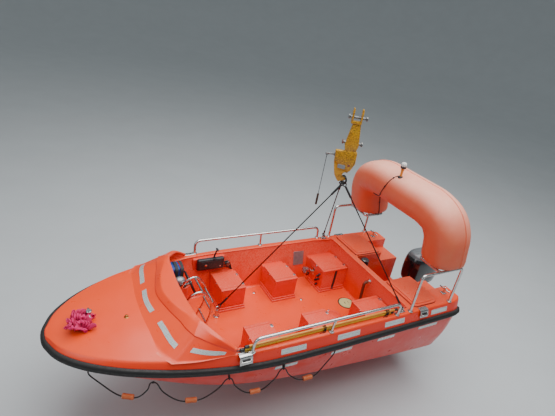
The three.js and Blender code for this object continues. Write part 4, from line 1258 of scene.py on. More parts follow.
@dataclass
class Cowl:
    """The low moulded windshield over the helm.

    Attributes:
        thick: the shell's thickness.
        cove: how far the cove at its foot reaches.
        lip: the rolled lip's radius.
        rows: smooth rows of foot, step, crease and rim, round the cowl.
    """

    thick: float = 30.0
    cove: float = 42.0
    lip: float = 19.0
    rows: list[list[float]] = field(init=False)

    def __post_init__(self) -> None:
        """Works out the smooth rows from the port end to the starboard one."""
        table = []
        for index, spoke in enumerate(COWL_SPOKES):
            table.append([index, *(value for place in spoke for value in place)])
        other = []
        for row in table[1:]:
            other.append([-row[0], *(-v if k % 3 == 1 else v for k, v in enumerate(row[1:]))])
        whole = list(reversed(other)) + table
        self.rows = []
        for part in (whole[:3], whole[2:11], whole[10:]):
            self.rows = self.rows[:-1] + smooth_table(part, 6)

    def spoke(self, share: float) -> list[Vector]:
        """Returns the foot, step, crease and rim at a place round the cowl, 6 at port's end."""
        place = (share + 6) * 6
        index = min(int(place), len(self.rows) - 2)
        row = between(self.rows[index], self.rows[index + 1], place - index)
        return [Vector(row[1 + 3 * k:4 + 3 * k]) for k in range(4)]

    def outside(self, share: float) -> list[Vector]:
        """Returns the outer line of the cowl's section, from the deck to its lip."""
        foot, step, crease, rim = self.spoke(share)
        out = Vector((foot.x - step.x, foot.y - step.y, 0)).normalized()
        up = (step - foot).normalized()
        reach = min(self.cove, (step - foot).length * 0.3) * (1 - 0.2 * max(abs(share) - 3, 0))
        side = up.cross(Vector((-out.y, out.x, 0))).normalized()
        proud = side if side.dot(out) > 0 else -side
        ledge = min(8.0, (crease - step).length * 0.14)
        corners = [foot + out * reach - Vector((0, 0, 4)), foot, step - up * 4,
                   step + up * 4 + proud * ledge, crease + proud * ledge * 0.7, rim]
        return [Vector(spot) for spot in rounded([list(c) for c in corners], (0, reach, 2, 3, 12, 0), 5)]

    def section(self, share: float) -> list[Vector]:
        """Returns the closed section: the outside, the rolled lip and the inside."""
        foot, _step, crease, rim = self.spoke(share)
        outer = self.outside(share)
        inboard = Vector((0, -math.copysign(min(1.0, abs(rim.y) / 500), rim.y), 0))
        back = Vector((-1, 0, 0)) + inboard * 0.8
        back.normalize()
        lip = []
        for angle in (20, 60, 100, 140, 175):
            t = math.radians(angle)
            lip.append(rim + back * self.lip * math.sin(t) - Vector((0, 0, self.lip * (1 - math.cos(t)))))
        inner_crease = crease + back * 10 + Vector((0, 0, -self.thick)) + inboard * self.thick * 0.6
        inner_foot = foot + back * self.thick + inboard * self.thick * 0.5 - Vector((0, 0, 40))
        start = lip[-1] + (inner_crease - lip[-1]) * 0.12
        return [*outer, *lip, start, inner_crease, inner_foot]

    def build(self) -> None:
        """Builds the cowl and its tapes."""
        shares = [-6 + index / 8 for index in range(97)]
        rings = [drawn(self.section(share)) for share in shares]
        Form().skin(rings).piece("cowl_moulding", Look.GELCOAT, replaces=["cowl"], angle=28.0)
        spans = [(-3.60, -1.25, 0.35, 0.45), (-0.70, 0.70, 0.50, 0.50), (1.40, 3.45, 0.50, 0.40),
                 (4.30, 5.65, 0.50, 0.45), (-5.65, -4.30, 0.45, 0.50)]
        for number, (start, end, low, high) in enumerate(spans):
            self.tape(f"cowl_tape_{number + 1}", start, end, low, high)

    def tape(self, name: str, start: float, end: float, low: float, high: float) -> None:
        """Lays a tape on the face of the cowl.

        Args:
            name: the tape's name.
            start: where it starts round the cowl.
            end: where it ends.
            low: how far up the face its middle starts, from 0 to 1.
            high: how far up the face its middle ends.
        """
        rings = []
        for index in range(25):
            share = index / 24
            foot, step, _crease, _rim = self.spoke(start + (end - start) * share)
            wall = step - foot
            half = min(24.0, wall.length * 0.2)
            out = Vector((wall.z * wall.x, wall.z * wall.y, -(wall.x ** 2 + wall.y ** 2))).normalized() * -1
            middle = foot + wall * (low + (high - low) * share)
            up = wall.normalized() * half
            rings.append(drawn((middle - up + out * 1.4, middle - up + out * 3.0,
                                middle + up + out * 3.0, middle + up + out * 1.4)))
        Form().skin(rings).piece(name, Look.TAPE)


@dataclass
class SideTapes:
    """The reflective tapes along the deck's edge and the hull's side.

    Attributes:
        deck: the spans along the deck's edge.
        hull: the spans along the hull's side.
    """

    deck: tuple[Flat, ...] = ((2270, 2550), (1600, 1890), (960, 1250), (265, 530))
    hull: tuple[Flat, ...] = ((2330, 2580), (1650, 1920), (1040, 1290), (350, 660))

    def build(self) -> None:
        """Lays the tapes on both sides."""
        for side, sign in SIDES.items():
            for number, (aft, fore) in enumerate(self.deck):
                self.strip(f"deck_tape_{side}_{number + 1}", sign, aft, fore, self.deck_place)
            for number, (aft, fore) in enumerate(self.hull):
                self.strip(f"hull_tape_{side}_{number + 1}", sign, aft, fore, self.hull_place)

    @staticmethod
    def deck_place(row: Sequence[float], share: float) -> Flat:
        """Returns a place on the deck's outer face, from its foot to its edge."""
        sheer, joint, edge = row[4], row[5], row[6]
        return tuple(between((sheer, joint + BAND), (edge_breadth(sheer), edge), 0.26 + 0.5 * share))

    @staticmethod
    def hull_place(row: Sequence[float], share: float) -> Flat:
        """Returns a place on the hull's side, below the fender."""
        chine_y, chine_z, sheer, joint = row[2], row[3], row[4], row[5]
        foot = side_bend(chine_y, chine_z, sheer, joint)[1]
        top = (sheer, joint - BAND)
        run = top[1] - foot[1]
        return tuple(between(foot, top, 1 - (90 - 46 * share) / run))

    def strip(self, name: str, sign: int, aft: float, fore: float,
              place: Callable[[Sequence[float], float], Flat]) -> None:
        """Lays one tape.

        Args:
            name: the tape's name.
            sign: 1 to port and -1 to starboard.
            aft: where it ends aft.
            fore: where it ends forward.
            place: gives the tape's lower and upper edges at a station.
        """
        stations = smooth_table(HULL, 6)
        rings = []
        for index in range(13):
            x = aft + (fore - aft) * index / 12
            high = next(k for k, row in enumerate(stations) if row[0] >= x)
            low_row, high_row = stations[max(high - 1, 0)], stations[high]
            row = between(low_row, high_row, (x - low_row[0]) / max(high_row[0] - low_row[0], 1))
            (y0, z0), (y1, z1) = place(row, 0.0), place(row, 1.0)
            ring = [(y0, z0, 0.4), (y0, z0, 2.2), (y1, z1, 2.2), (y1, z1, 0.4)]
            rings.append([boat(x, sign * (y + lift), z) for y, z, lift in ring])
        Form().skin(rings).piece(name, Look.TAPE)


# Lids.


@dataclass
class Lockers:
    """The seat lockers with their lids, and the pod covers.

    Attributes:
        boxes: for each locker its name, after and forward ends and top.
        near: its inboard side.
        far: its outboard side.
    """

    boxes: tuple[tuple[str, float, float, float], ...] = (
        ("1", 2367, 2676, 699), ("2", 1646, 1957, 699), ("3", 850, 1245, 722))
    near: float = 309.0
    far: float = 656.0

    def build(self) -> None:
        """Builds every locker on both sides."""
        for side, sign in SIDES.items():
            for number, aft, fore, top in self.boxes:
                self.box(f"locker_{side}_{number}", sign, aft, fore, top)
                self.lid(f"lid_{side}_{number}", sign, aft, fore, top)
            self.cover(side, sign)

    def box(self, name: str, sign: int, aft: float, fore: float, top: float) -> None:
        """Builds a locker's box, open above, with the moulded steps at its toe."""
        outer = 745 if top < 710 else 760
        low, high = sorted((sign * self.near, sign * outer))
        form = Form().block(boat(aft - 1, low - 1, FLOOR - 4), boat(fore + 1, high + 1, top - 24), 9)
        for lift, grow in ((26.0, 20.0), (52.0, 10.0)):
            low, high = sorted((sign * (self.near - grow), sign * 690))
            start = aft if aft < 900 else aft - grow
            form.block(boat(start, low, FLOOR - 6), boat(fore + grow, high, FLOOR + lift), 9)
        made = form.piece(name, Look.SHADED_LINER)
        low, high = sorted((sign * (self.near + 28), sign * (self.far - 30)))
        tool = Form().block(boat(aft + 28, low, FLOOR + 10), boat(fore - 28, high, top + 60), 10)
        cut(made, [tool], 32.0, crossing=True)

    def lid(self, name: str, sign: int, aft: float, fore: float, top: float) -> None:
        """Builds a flush lid with its drain groove, hinges and catch."""
        start = aft + 8 if aft < 900 else aft - 4
        low, high = sorted((sign * (self.near - 5), sign * (self.far + 4)))
        form = Form().block(boat(start, low, top - 23.6), boat(fore + 4, high, top + 0.5), 7, 4)
        made = form.piece(name + "_moulding", Look.SHADED_LINER, body=name, replaces=[name])
        low, high = sorted((sign * (self.near + 33), sign * (self.near + 38)))
        groove = Form().block(boat(start - 9, low, top - 3.5), boat(fore + 9, high, top + 9))
        cut(made, [groove], 35.0)
        hinge = Form()
        for share in (0.22, 0.78):
            y = sign * (self.near + (self.far - self.near) * share)
            hinge.block(boat(start + 4, y - 22, top - 1), boat(start + 30, y + 22, top + 2.5), 1)
            hinge.bar(boat(start + 2, y - 22, top + 1), boat(start + 2, y + 22, top + 1), 3.4, 12)
            for shift in (-13, 13):
                hinge.upright(start + 20, y + shift, top + 2, top + 4, 3.4, 10, 2.2)
        hinge.piece(name + "_hinges", Look.STAINLESS, body=name)
        catch = Form()
        y = sign * (self.near + self.far) / 2
        catch.block(boat(fore + 3, y - 12, top - 20), boat(fore + 8, y + 12, top - 4), 2)
        catch.block(boat(fore + 6, y - 7, top - 30), boat(fore + 11, y + 7, top - 12), 2)
        catch.piece(name + "_catch", Look.STAINLESS, body=name)

    @staticmethod
    def cover_line(shrink: float) -> list[list[float]]:
        """Returns a pod cover's outline, drawn in by a distance, with round corners."""
        corners = [(765 - shrink, 300 + shrink), (765 - shrink, 812 - shrink),
                   (380 + shrink, 812 - shrink), (358 + shrink, 560), (358 + shrink, 300 + shrink)]
        return rounded([*corners, *corners[:2]], (0, 60, 90, 90, 40, 40, 0), 6)[1:-1]

    def cover(self, side: str, sign: int) -> None:
        """Builds a pod's cover: a flat plate with a smaller raised panel on it, and its screws."""
        form = Form()
        for shrink, low, high in ((0, 905.3, 922), (26, 916, 931)):
            outline = [boat(x, sign * y, low) for x, y in self.cover_line(shrink)]
            form.plate(outline, Vector((0, 0, mm(high - low))), 4, 2)
        form.piece(f"pod_cover_{side}_moulding", Look.GELCOAT, replaces=[f"pod_cover_{side}"])
        # A black rubber tube round the cover's foot stands for the shadow in the gap under its edge: painted
        # shadow.
        gap = Form().tube([boat(x, sign * y, 906) for x, y in self.cover_line(0)], 4.2, 8, loop=True)
        gap.piece(f"pod_cover_{side}_gasket", Look.RUBBER, angle=60.0)
        screws = Form()
        for x, y in ((385, 330), (385, 540), (560, 330), (738, 330), (738, 560), (738, 780), (560, 790)):
            screws.upright(x, sign * y, 921, 924, 5, 10, 3.5)
        screws.piece(f"pod_cover_{side}_screws", Look.STAINLESS)


# Tube work and the arch.


def bent(points: Sequence[Point], bend: float, steps: int = 8) -> list[Vector]:
    """Returns the middle line of a bent tube, in the part's frame.

    Args:
        points: its corners, in the boat's millimetres.
        bend: how far each bend reaches.
        steps: how many short lines make a bend.

    Returns:
        The places along its middle.
    """
    radii = [0.0] + [bend] * (len(points) - 2) + [0.0]
    return drawn(rounded(points, radii, steps))


def flange(form: Form, x: float, y: float, radius: float = 30.0) -> None:
    """Adds a tube's foot to a form: a round flange with its weld and three screws."""
    top = GUNWALE + 6.5
    form.turned([(0, 0), (radius, 0), (radius, 4), (radius - 2, 6.2), (22, 6.6), (17, 13), (0, 13)],
                boat(x, y, GUNWALE + 0.4), steps=24)
    for angle in turns(3):
        a, b = x + (radius - 6) * math.cos(angle), y + (radius - 6) * math.sin(angle)
        form.upright(a, b, top - 1, top + 2, 4, 8, 2.5)


@dataclass
class TubeWork:
    """The side rails and the hoops that carry the arch.

    Attributes:
        rail: where a rail's feet stand, aft, middle and forward.
        high: the rail's height.
        hoop: a hoop's after and forward legs.
        top: the hoop's height.
        bearer: the bearer's after and forward arms, under the arch's foot.
        inner: how near to the centre line the bearer reaches.
        foot: how far from the centre line every foot stands.
        out: how far from it the rail's top is.
        root: the height at which the tubes start, inside their flanges.
    """

    rail: Point = (1066, 1962, 2849)
    high: float = 1068.0
    hoop: Flat = (218, 862)
    top: float = 1387.0
    bearer: Flat = (290, 590)
    inner: float = 520.0
    foot: float = 846.0
    out: float = 861.0
    root: float = 908.0

    def build(self) -> None:
        """Builds the tubes on both sides."""
        for side, sign in SIDES.items():
            y, out = sign * self.foot, sign * self.out
            aft, middle, fore = self.rail
            form = Form()
            path = [(fore, y, self.root), (fore, out, self.high), (aft, out, self.high), (aft, y, self.root)]
            form.tube(bent(path, 95, 10), 16, 16)
            prop = [(middle, y, self.root), (middle, (y + out) / 2, 990), (middle, out, self.high)]
            form.tube(drawn(prop), 13, 14)
            form.turned([(13, 0), (18, 8), (18, 14), (0, 14)], boat(middle, out, self.high - 26), steps=16)
            for x in self.rail:
                flange(form, x, y)
            form.piece(f"rail_{side}_tubes", Look.STAINLESS, replaces=[f"rail_{side}"])
            self.frame(side, sign)

    def frame(self, side: str, sign: int) -> None:
        """Builds a hoop with the bearers under the arch's foot."""
        y, inner, top = sign * self.foot, sign * self.inner, self.top
        form = Form()
        for (aft, fore), reach, low, bend in ((self.hoop, y, self.root, 60), (self.bearer, inner, top, 45)):
            arms = [(aft, y, low), (aft, reach, top), (fore, reach, top), (fore, y, low)]
            form.tube(bent(arms, bend, 8), 17, 16)
        low = min(y, inner)
        for x in self.bearer:
            form.tube([boat(x, y - sign * 16, top), boat(x, y - sign * 22, top)], 20, 16)
            form.block(boat(x - 26, low + 120, top + 14), boat(x + 26, low + 190, top + 17), 1)
        for x in self.hoop:
            flange(form, x, y)
        form.piece(f"arch_frame_{side}_tubes", Look.STAINLESS, replaces=[f"arch_frame_{side}"])


@dataclass
class Arch:
    """The buoyant arch over the stern, with its lamp and cable.

    Attributes:
        x: its middle fore and aft.
        long: its half length fore and aft.
        thick: its half thickness.
        foot: where it stands on the bearers.
        crown: the height of its middle at the top.
        rake: how far aft of its crown each foot stands.
        seam: the angles round its section between which the seam band is raised.
        path: pairs of half breadth and height of its middle.
    """

    x: float = 540.0
    long: float = 262.0
    thick: float = 212.0
    foot: float = 1404.3
    crown: float = 1990.0
    rake: float = 140.0
    seam: tuple[float, ...] = (99.0, 101.0, 114.0, 116.0)
    path: list[list[float]] = field(default_factory=lambda: [
        [690, 1404.3], [690, 1765], [610, 1925], [440, 1990]])

    def build(self) -> None:
        """Builds the arch, the lamp and the cable."""
        port = rounded([*self.path, [0, self.crown]], (0, 110, 100, 120, 0), 8)
        line = [Vector((y, z)) for y, z in port]
        line += [Vector((-y, z)) for y, z in reversed(port[:-1])]
        lifts = (0, 3, 9, 20, 36, 56, 80, 120, 170, 230)
        feet = [Vector((self.path[0][0], self.foot + lift)) for lift in lifts]
        line = feet + line[1:-1] + [Vector((-spot.x, spot.y)) for spot in reversed(feet)]
        form = Form().skin([self.ring(line, index) for index in range(len(line))])
        bmesh.ops.recalc_face_normals(form.mesh, faces=form.mesh.faces)
        foam = BVHTree.FromBMesh(form.mesh)
        form.piece("arch_foam", Look.SKIN, replaces=["arch"], angle=40.0)
        self.lamp()
        self.cable(foam)

    def ring(self, line: Sequence[Vector], index: int) -> list[Vector]:
        """Returns the arch's section at one place along it, with its moulded seam band."""
        spot = line[index]
        along = (line[min(index + 1, len(line) - 1)] - line[max(index - 1, 0)]).normalized()
        out = Vector((along.y, -along.x))
        lift = min(spot.y - self.foot, 80)
        size = 0.76 + 0.24 * math.sqrt(max(0.0, 1 - (1 - lift / 80) ** 2))
        middle = self.x - self.rake * (self.crown - spot.y) / (self.crown - self.foot)
        ring = []
        for degrees in sorted([5.0 * k for k in range(72)] + list(self.seam)):
            angle = math.radians(degrees)
            bulge = 1.045 if self.seam[1] <= degrees <= self.seam[2] and lift > 30 else 1.0
            square = (abs(math.cos(angle)) ** 2.5 + abs(math.sin(angle)) ** 2.5) ** (-1 / 2.5)
            long = self.long * size * square * bulge * math.cos(angle)
            across = self.thick * size * square * bulge * math.sin(angle)
            ring.append(boat(middle + long, spot.x + out.x * across, spot.y + out.y * across))
        return ring

    def lamp(self) -> None:
        """Builds the lamp: a black foot, an amber stem, a black ring and a milky dome."""
        x, y = 700, -30
        foot = [(0, 0), (29, 0), (29, 24), (24, 30), (0, 31)]
        ring = [(0, 0), (31, 0), (34, 3), (34, 20), (30, 24), (0, 24)]
        form = Form().turned(foot, boat(x, y, 2155)).turned(ring, boat(x, y, 2286))
        form.piece("lamp_ring", Look.PLASTIC)
        stem = [(0, 0), (15, 0), (14, 30), (16, 64), (22, 92), (24, 104), (0, 104)]
        Form().turned(stem, boat(x, y, 2184)).piece("lamp_stem", Look.AMBER_POLE, replaces=["lamp"])
        dome = [(0, 0), (29, 0), (35, 7), (35, 24), (30, 38), (18, 48), (0, 52)]
        Form().turned(dome, boat(x, y, 2309)).piece("lamp_dome", Look.LENS, angle=60.0)

    def cable(self, foam: BVHTree) -> None:
        """Lays the lamp's cable down the arch, just on its skin, and clips it.

        Args:
            foam: the arch's faces.
        """
        line = curve_through(drawn(LAMP_CABLE), 130)
        free = boat(0, 0, 1440).z
        for index, place in enumerate(line):
            if place.z > free:
                spot, normal, _face, _gap = foam.find_nearest(place)
                line[index] = spot + normal * mm(4.6)
        for _ in range(10):
            inner = [(a + b * 2 + c) / 4 for a, b, c in zip(line, line[1:], line[2:])]
            line = [line[0], *inner, line[-1]]
        Form().tube(line, 4.5, 10).piece("lamp_cable_sheath", Look.RUBBER, replaces=["lamp_cable"])
        clips = Form()
        for index in range(8, 120, 16):
            along = (line[index + 1] - line[index - 1]).normalized() * 0.009
            clips.tube([line[index] - along, line[index] + along], 8.5, 10)
        clips.piece("lamp_cable_clips", Look.PLASTIC)


# The lamp's cable, from the lamp's foot down the arch to the starboard bearer.
LAMP_CABLE: list[Point] = [
    (700, -43.8, 2181), (706, -56, 2177), (722, -69.5, 2167), (756, -85.6, 2139.5), (780, -95, 2106),
    (806.6, -134, 1995), (797, -170.4, 1914), (762.6, -207, 1849), (720.7, -326, 1815),
    (679.4, -404, 1795.3), (626, -430.7, 1770.3), (571.5, -456.2, 1755.3), (514.7, -464.3, 1733.8),
    (486.2, -473.5, 1714), (448.5, -473.5, 1581.6), (410.8, -473.4, 1449.3), (402, -480, 1415),
    (400, -488, 1390), (400, -502.4, 1387),
]


# Cords.


# The port lifeline, from the bow aft: its beckets, its straps and the lowest points of its loops.
LIFELINE: list[Point] = [
    (4200, 483, 768), (4196, 485, 730), (4117, 525, 641), (3963, 603, 509), (3836, 667, 505),
    (3754, 709, 612), (3732, 720, 699), (3710, 731, 713), (3686, 736, 699), (3623, 750, 580),
    (3462, 784, 440), (3293, 821, 437), (3142, 853, 558), (3084, 866, 658), (3060, 871, 672),
    (3035, 873, 658), (2983, 877, 549), (2842, 887, 418), (2699, 898, 417), (2576, 908, 537),
    (2535, 911, 637), (2510, 913, 651), (2485, 913, 637), (2422, 914, 533), (2258, 916, 408),
    (2102, 918, 411), (1978, 919, 560), (1914, 920, 665), (1910, 920, 703.5),
]


@dataclass
class Lifelines:
    """The looped lifelines with a float in each loop.

    Attributes:
        radius: the line's radius.
        floats: the pairs of points that each float lies between.
        straps: the points that hang in a strap from the fender.
    """

    radius: float = 6.0
    floats: tuple[tuple[int, int], ...] = ((3, 4), (10, 11), (17, 18), (24, 25))
    straps: tuple[int, ...] = (7, 14, 21)

    def build(self) -> None:
        """Builds both lines, their floats and their straps."""
        for side, sign in SIDES.items():
            spots = [boat(x, sign * y, z) for x, y, z in LIFELINE]
            line = curve_through(spots, 260)
            made = Form().tube(line, self.radius, 10).piece(
                f"lifeline_{side}_rope", Look.LINE, replaces=[f"lifeline_{side}"], angle=60.0)
            floats = [self.float(f"lifeline_{side}_float_{number + 1}", spots[a], spots[b])
                      for number, (a, b) in enumerate(self.floats)]
            self.hang_straps(side, spots)

    @staticmethod
    def float(name: str, start: Vector, end: Vector) -> bpy.types.Object:
        """Builds a float, a waisted cylinder with rounded rims."""
        middle, along = (start + end) / 2, (end - start).normalized()
        profile = [(7, -52), (20, -52), (24.5, -47), (25, -38), (23.6, 0), (25, 38), (24.5, 47), (20, 52),
                   (7, 52)]
        return Form().turned(profile, middle, along, 24).piece(name, Look.FLOAT, angle=40.0)

    def hang_straps(self, side: str, spots: Sequence[Vector]) -> None:
        """Hangs each high point of the line in a webbing loop under the fender."""
        form = Form()
        for index in self.straps:
            spot = spots[index]
            inward = Vector((0, -math.copysign(1, spot.y), 0))
            top = Vector((spot.x, spot.y, boat(0, 0, 712 + 0.02 * index).z))
            drop = [top + inward * 0.012, spot + inward * 0.010, spot + Vector((0, 0, -0.010)),
                    spot - inward * 0.009, top - inward * 0.004]
            line = curve_through(drop, 14)
            form.tube(line, 10, 8, shape=[(1, 0.12), (-1, 0.12), (-1, -0.12), (1, -0.12)])
        form.piece(f"lifeline_{side}_straps", Look.WEBBING)


@dataclass
class Lanyard:
    """The hook's release lanyard with its wooden grip.

    Attributes:
        top: where it leaves the lever.
        low: where the grip starts.
        inside: how far the line runs on into the grip.
    """

    top: Point = (1765.1, -125.1, 2446.7)
    low: float = 1982.0
    inside: float = 40.0

    def build(self) -> None:
        """Builds the line and the grip that pulls it straight."""
        x, y, z = self.top
        high = z - self.low + self.inside
        line = [boat(x, y, z - high * index / 24) for index in range(25)]
        made = Form().tube(line, 3, 8).piece("lanyard_line", Look.LINE, replaces=["lanyard"], angle=60.0)
        profile = [(0, 0), (9, 0), (12, -8), (11, -40), (12.5, -75), (11, -110), (12, -124), (8, -132),
                   (0, -132)]
        grip = Form().turned(profile, boat(x, y, self.low), steps=20)
        piece = grip.piece("lanyard_grip", Look.GRIP, angle=50.0)


# Lifting gear.

# The hook's turn about its upright axis in radians, and the outlines of its body and its neck,
# as pairs of distance ahead and height over its throat.
HOOK_TURN = -0.5585
HOOK_THROAT = 2250.0
HOOK_BODY: list[Flat] = [(159, 261), (-71, 270), (-77, 140), (-37, 47), (-20, 42), (-20, -40), (-8, -58),
                         (25, -68), (63, -84), (114, -17), (149, 133)]
HOOK_NECK: list[Flat] = [(60, 250), (-45, 250), (-66, 330), (-62, 375), (-34, 575), (44, 575), (74, 375),
                         (80, 330)]


def hook_place(ahead: float, side: float, high: float) -> Vector:
    """Turns a place in the hook's own plane to the part's frame.

    Args:
        ahead: distance ahead of the throat's middle, in millimetres.
        side: distance from the hook's plane.
        high: height above the throat's middle.

    Returns:
        The place in the part's frame.
    """
    c, s = math.cos(HOOK_TURN), math.sin(HOOK_TURN)
    return boat(HANG + ahead * c - side * s, ahead * s + side * c, HOOK_THROAT + high)


def hook_axis(ahead: float, side: float, high: float) -> Vector:
    """Turns a direction in the hook's own plane to the part's frame."""
    return hook_place(ahead, side, high) - hook_place(0, 0, 0)


@dataclass
class Hook:
    """The yellow release hook with its pins, plate and lever.

    Attributes:
        slim: the half thickness of its point.
        wide: the half thickness of its cheeks.
        bolt: the height of the pin through the neck.
        crown: the height of the upper pin.
    """

    slim: float = 11.0
    wide: float = 28.0
    bolt: float = 356.0
    crown: float = 625.0

    def plate(self, form: Form, outline: Sequence[Flat], half: float, soft: float) -> None:
        """Adds a plate in the hook's plane, of a half thickness and an edge radius."""
        places = [hook_place(ahead, -half, high) for ahead, high in outline]
        form.plate(places, hook_axis(0, 2 * half, 0), soft, 2)

    def pin(self, form: Form, high: float, start: float, end: float, radius: float) -> None:
        """Adds a pin that lies along the hook's plane."""
        form.bar(hook_place(start, 0, high), hook_place(end, 0, high), radius, 24, soft=2.5)

    def build(self) -> None:
        """Builds the hook's plates, its yoke and its fittings."""
        body = Form()
        radii = (0, 16, 30, 12, 4, 10, 8, 12, 14, 30, 30, 14, 0)
        self.plate(body, rounded([*HOOK_BODY, *HOOK_BODY[:2]], radii, 4)[1:-1], self.slim, 3)
        upper = [(157, 259), (-69, 268), (-75, 142), (-35, 52), (0, 56), (145, 138)]
        self.plate(body, upper, self.wide, 6)
        made = body.piece("hook_body", Look.YELLOW, replaces=["hook"], angle=40.0)
        throat = Form().bar(hook_place(0, -60, 0), hook_place(0, 60, 0), 30, 40)
        cut(made, [throat], 40.0, crossing=True)
        yoke = Form()
        self.plate(yoke, HOOK_NECK, 20, 7)
        self.plate(yoke, [(-38, 560), (70, 560), (70, 588), (-38, 588)], self.wide, 5)
        for ahead in (54, -38):
            cheek = ((0, 580), (16, 580), (16, 690), (14, 711), (10, 715), (6, 715), (2, 711), (0, 690))
            self.plate(yoke, [(ahead + shift, high) for shift, high in cheek], self.wide, 2.5)
        yoke.piece("hook_yoke", Look.YELLOW, angle=40.0)
        self.fittings()

    def fittings(self) -> None:
        """Builds the pins, nuts, blank plate and lever."""
        pins = Form()
        self.pin(pins, self.bolt, -92, 104, 15)
        self.pin(pins, self.crown, -70, 100, 13)
        pins.piece("hook_pins", Look.GALVANISED)
        heads = Form()
        heads.bar(hook_place(100, 0, self.bolt), hook_place(112, 0, self.bolt), 24, 24, soft=4)
        heads.bar(hook_place(-12, -30, 116), hook_place(-12, 30, 116), 13, 20, soft=3)
        heads.piece("hook_pin_heads", Look.PRIMER)
        nuts = Form()
        for low, top, high, size in ((-93, -75, self.crown, 22), (87, 105, self.crown, 22),
                                     (-102, -86, self.bolt, 23)):
            nuts.bar(hook_place(low, 0, high), hook_place(top, 0, high), size, 6, soft=2)
        nuts.piece("hook_nuts", Look.GALVANISED)
        for side, sign in SIDES.items():
            corners = [hook_place(a, sign * self.wide, z)
                       for a, z in ((22, 68), (104, 76), (104, 118), (22, 110))]
            plate = Form().plate(corners, hook_axis(0, sign * 2.2, 0), 0.8, 1)
            plate.piece(f"hook_plate_{side}", Look.ANODISED)
        lever = Form()
        self.pin(lever, 205, 138, 252, 8)
        lever.bar(hook_place(150, -16, 205), hook_place(150, 16, 205), 16, 20, soft=3)
        arm = [hook_place(a, -5, z) for a, z in ((146, 196), (250, 200), (254, 206), (250, 212), (146, 220))]
        lever.plate(arm, hook_axis(0, 10, 0), 2, 1)
        ring = [hook_place(236 + 13 * math.sin(t), 0, 194 + 13 * math.cos(t)) for t in turns(24)]
        lever.tube(ring, 3, 8, loop=True)
        lever.piece("hook_lever", Look.GALVANISED)


@dataclass
class Sling:
    """The three wire legs, the master link and the eyes that they pull on.

    Attributes:
        ring: the master link's radius.
        bar: the radius of its bar.
        low: the link's lowest point.
        eye_ring: a lifting eye's radius.
        eye_bar: the radius of its bar.
        thimble: a thimble's radius.
        thimble_bar: the radius of its bar.
        play: the gap that is left where two of them bear on each other.
    """

    ring: float = 43.0
    bar: float = 10.0
    low: float = 2150.0
    eye_ring: float = 22.0
    eye_bar: float = 8.0
    thimble: float = 24.0
    thimble_bar: float = 6.0
    play: float = 0.3

    def build(self) -> None:
        """Builds the link, the legs and their eyes."""
        centre = Vector((HANG, 0, self.low + self.ring))
        path = [boat(HANG, self.ring * math.sin(t), centre.z + self.ring * math.cos(t)) for t in turns(48)]
        link = Form().tube(path, self.bar, 14, loop=True)
        link.piece("master_link_ring", Look.SLEEVE, replaces=["master_link"], angle=60.0)
        eyes = {"forward": (2738, -250, 510, 0.0), "port": (975, 816, 935, 0.6),
                "starboard": (975, -816, 935, -0.6)}
        for name, (x, y, z, angle) in eyes.items():
            self.eye(name, x, y, z)
            self.leg(name, angle, Vector((x, y, z)), centre)

    def eye(self, name: str, x: float, y: float, z: float) -> None:
        """Builds a lifting eye on its pad, or on its post for the forward leg."""
        size = self.eye_ring
        ring = [boat(x + size * math.sin(t), y, z + size * math.cos(t)) for t in turns(32)]
        form = Form().tube(ring, self.eye_bar, 14, loop=True)
        if name == "forward":
            post = [(0, 0), (38, 0), (38, 7), (35, 10), (26, 10), (22, 15), (20, 22), (20, 84), (14, 94),
                    (0, 95)]
            form.turned(post, boat(x, y, FLOOR + 0.4))
            for angle in turns(4):
                a, b = x + 30 * math.cos(angle), y + 30 * math.sin(angle)
                form.upright(a, b, FLOOR + 8, FLOOR + 14, 5, 6, soft=1)
            form.piece("lifting_post_steel", Look.STAINLESS, replaces=["lifting_post"])
            return
        form.block(boat(x - 42, y - 24, GUNWALE + 0.4), boat(x + 42, y + 27, GUNWALE + 8), 3)
        for shift in (-30, 30):
            form.upright(x + shift, y, GUNWALE + 7, GUNWALE + 13, 7, 6, soft=1)
        form.piece(f"lifting_eye_{name}_steel", Look.STAINLESS, replaces=[f"lifting_eye_{name}"])

    def leg(self, name: str, angle: float, eye: Vector, centre: Vector) -> None:
        """Builds a wire leg with its thimbles and sleeves.

        Args:
            name: the leg's name.
            angle: where its thimble hangs on the master link.
            eye: the lifting eye's middle, in millimetres.
            centre: the master link's middle.
        """
        top = Vector((HANG, self.ring * math.sin(angle), centre.z - self.ring * math.cos(angle)))
        pull = Vector((top.x - eye.x, 0, top.z - eye.z)).normalized() * self.eye_ring
        low = eye + pull
        down = (low - top).normalized()
        inside = self.thimble - self.thimble_bar
        upper = top + down * (inside - self.bar - self.play)
        lower = low - down * (inside - self.eye_bar - self.play)
        sleeve = Form()
        for middle, way in ((upper, Vector((1, 0, 0))), (lower, Vector((0, 1, 0)))):
            side = down.cross(way).normalized().cross(down).normalized()
            ring = drawn(middle + (down * math.cos(t) + side * math.sin(t)) * self.thimble for t in turns(28))
            sleeve.tube(ring, self.thimble_bar, 10, loop=True)
        start, end = upper + down * 22, lower - down * 22
        line = drawn(start.lerp(end, index / 59) for index in range(60))
        wire = Form().tube(line, 6.5, 14)
        for foot, way, long in ((start, down, 150), (end, -down, 130)):
            path = drawn(foot + way * long * share for share in (0, 0.04, 0.1, 0.5, 0.92, 0.97, 1.0))
            sizes = (9, 11.5, 12, 12, 11.5, 9.5, 7)
            sleeve.tube(path, lambda share, sizes=sizes: sizes[round(share * 6)], 14)
        wire.piece(f"sling_{name}_wire", Look.WIRE, replaces=[f"sling_{name}"], angle=60.0)
        sleeve.piece(f"sling_{name}_sleeves", Look.SLEEVE, angle=50.0)


# Deck fittings.


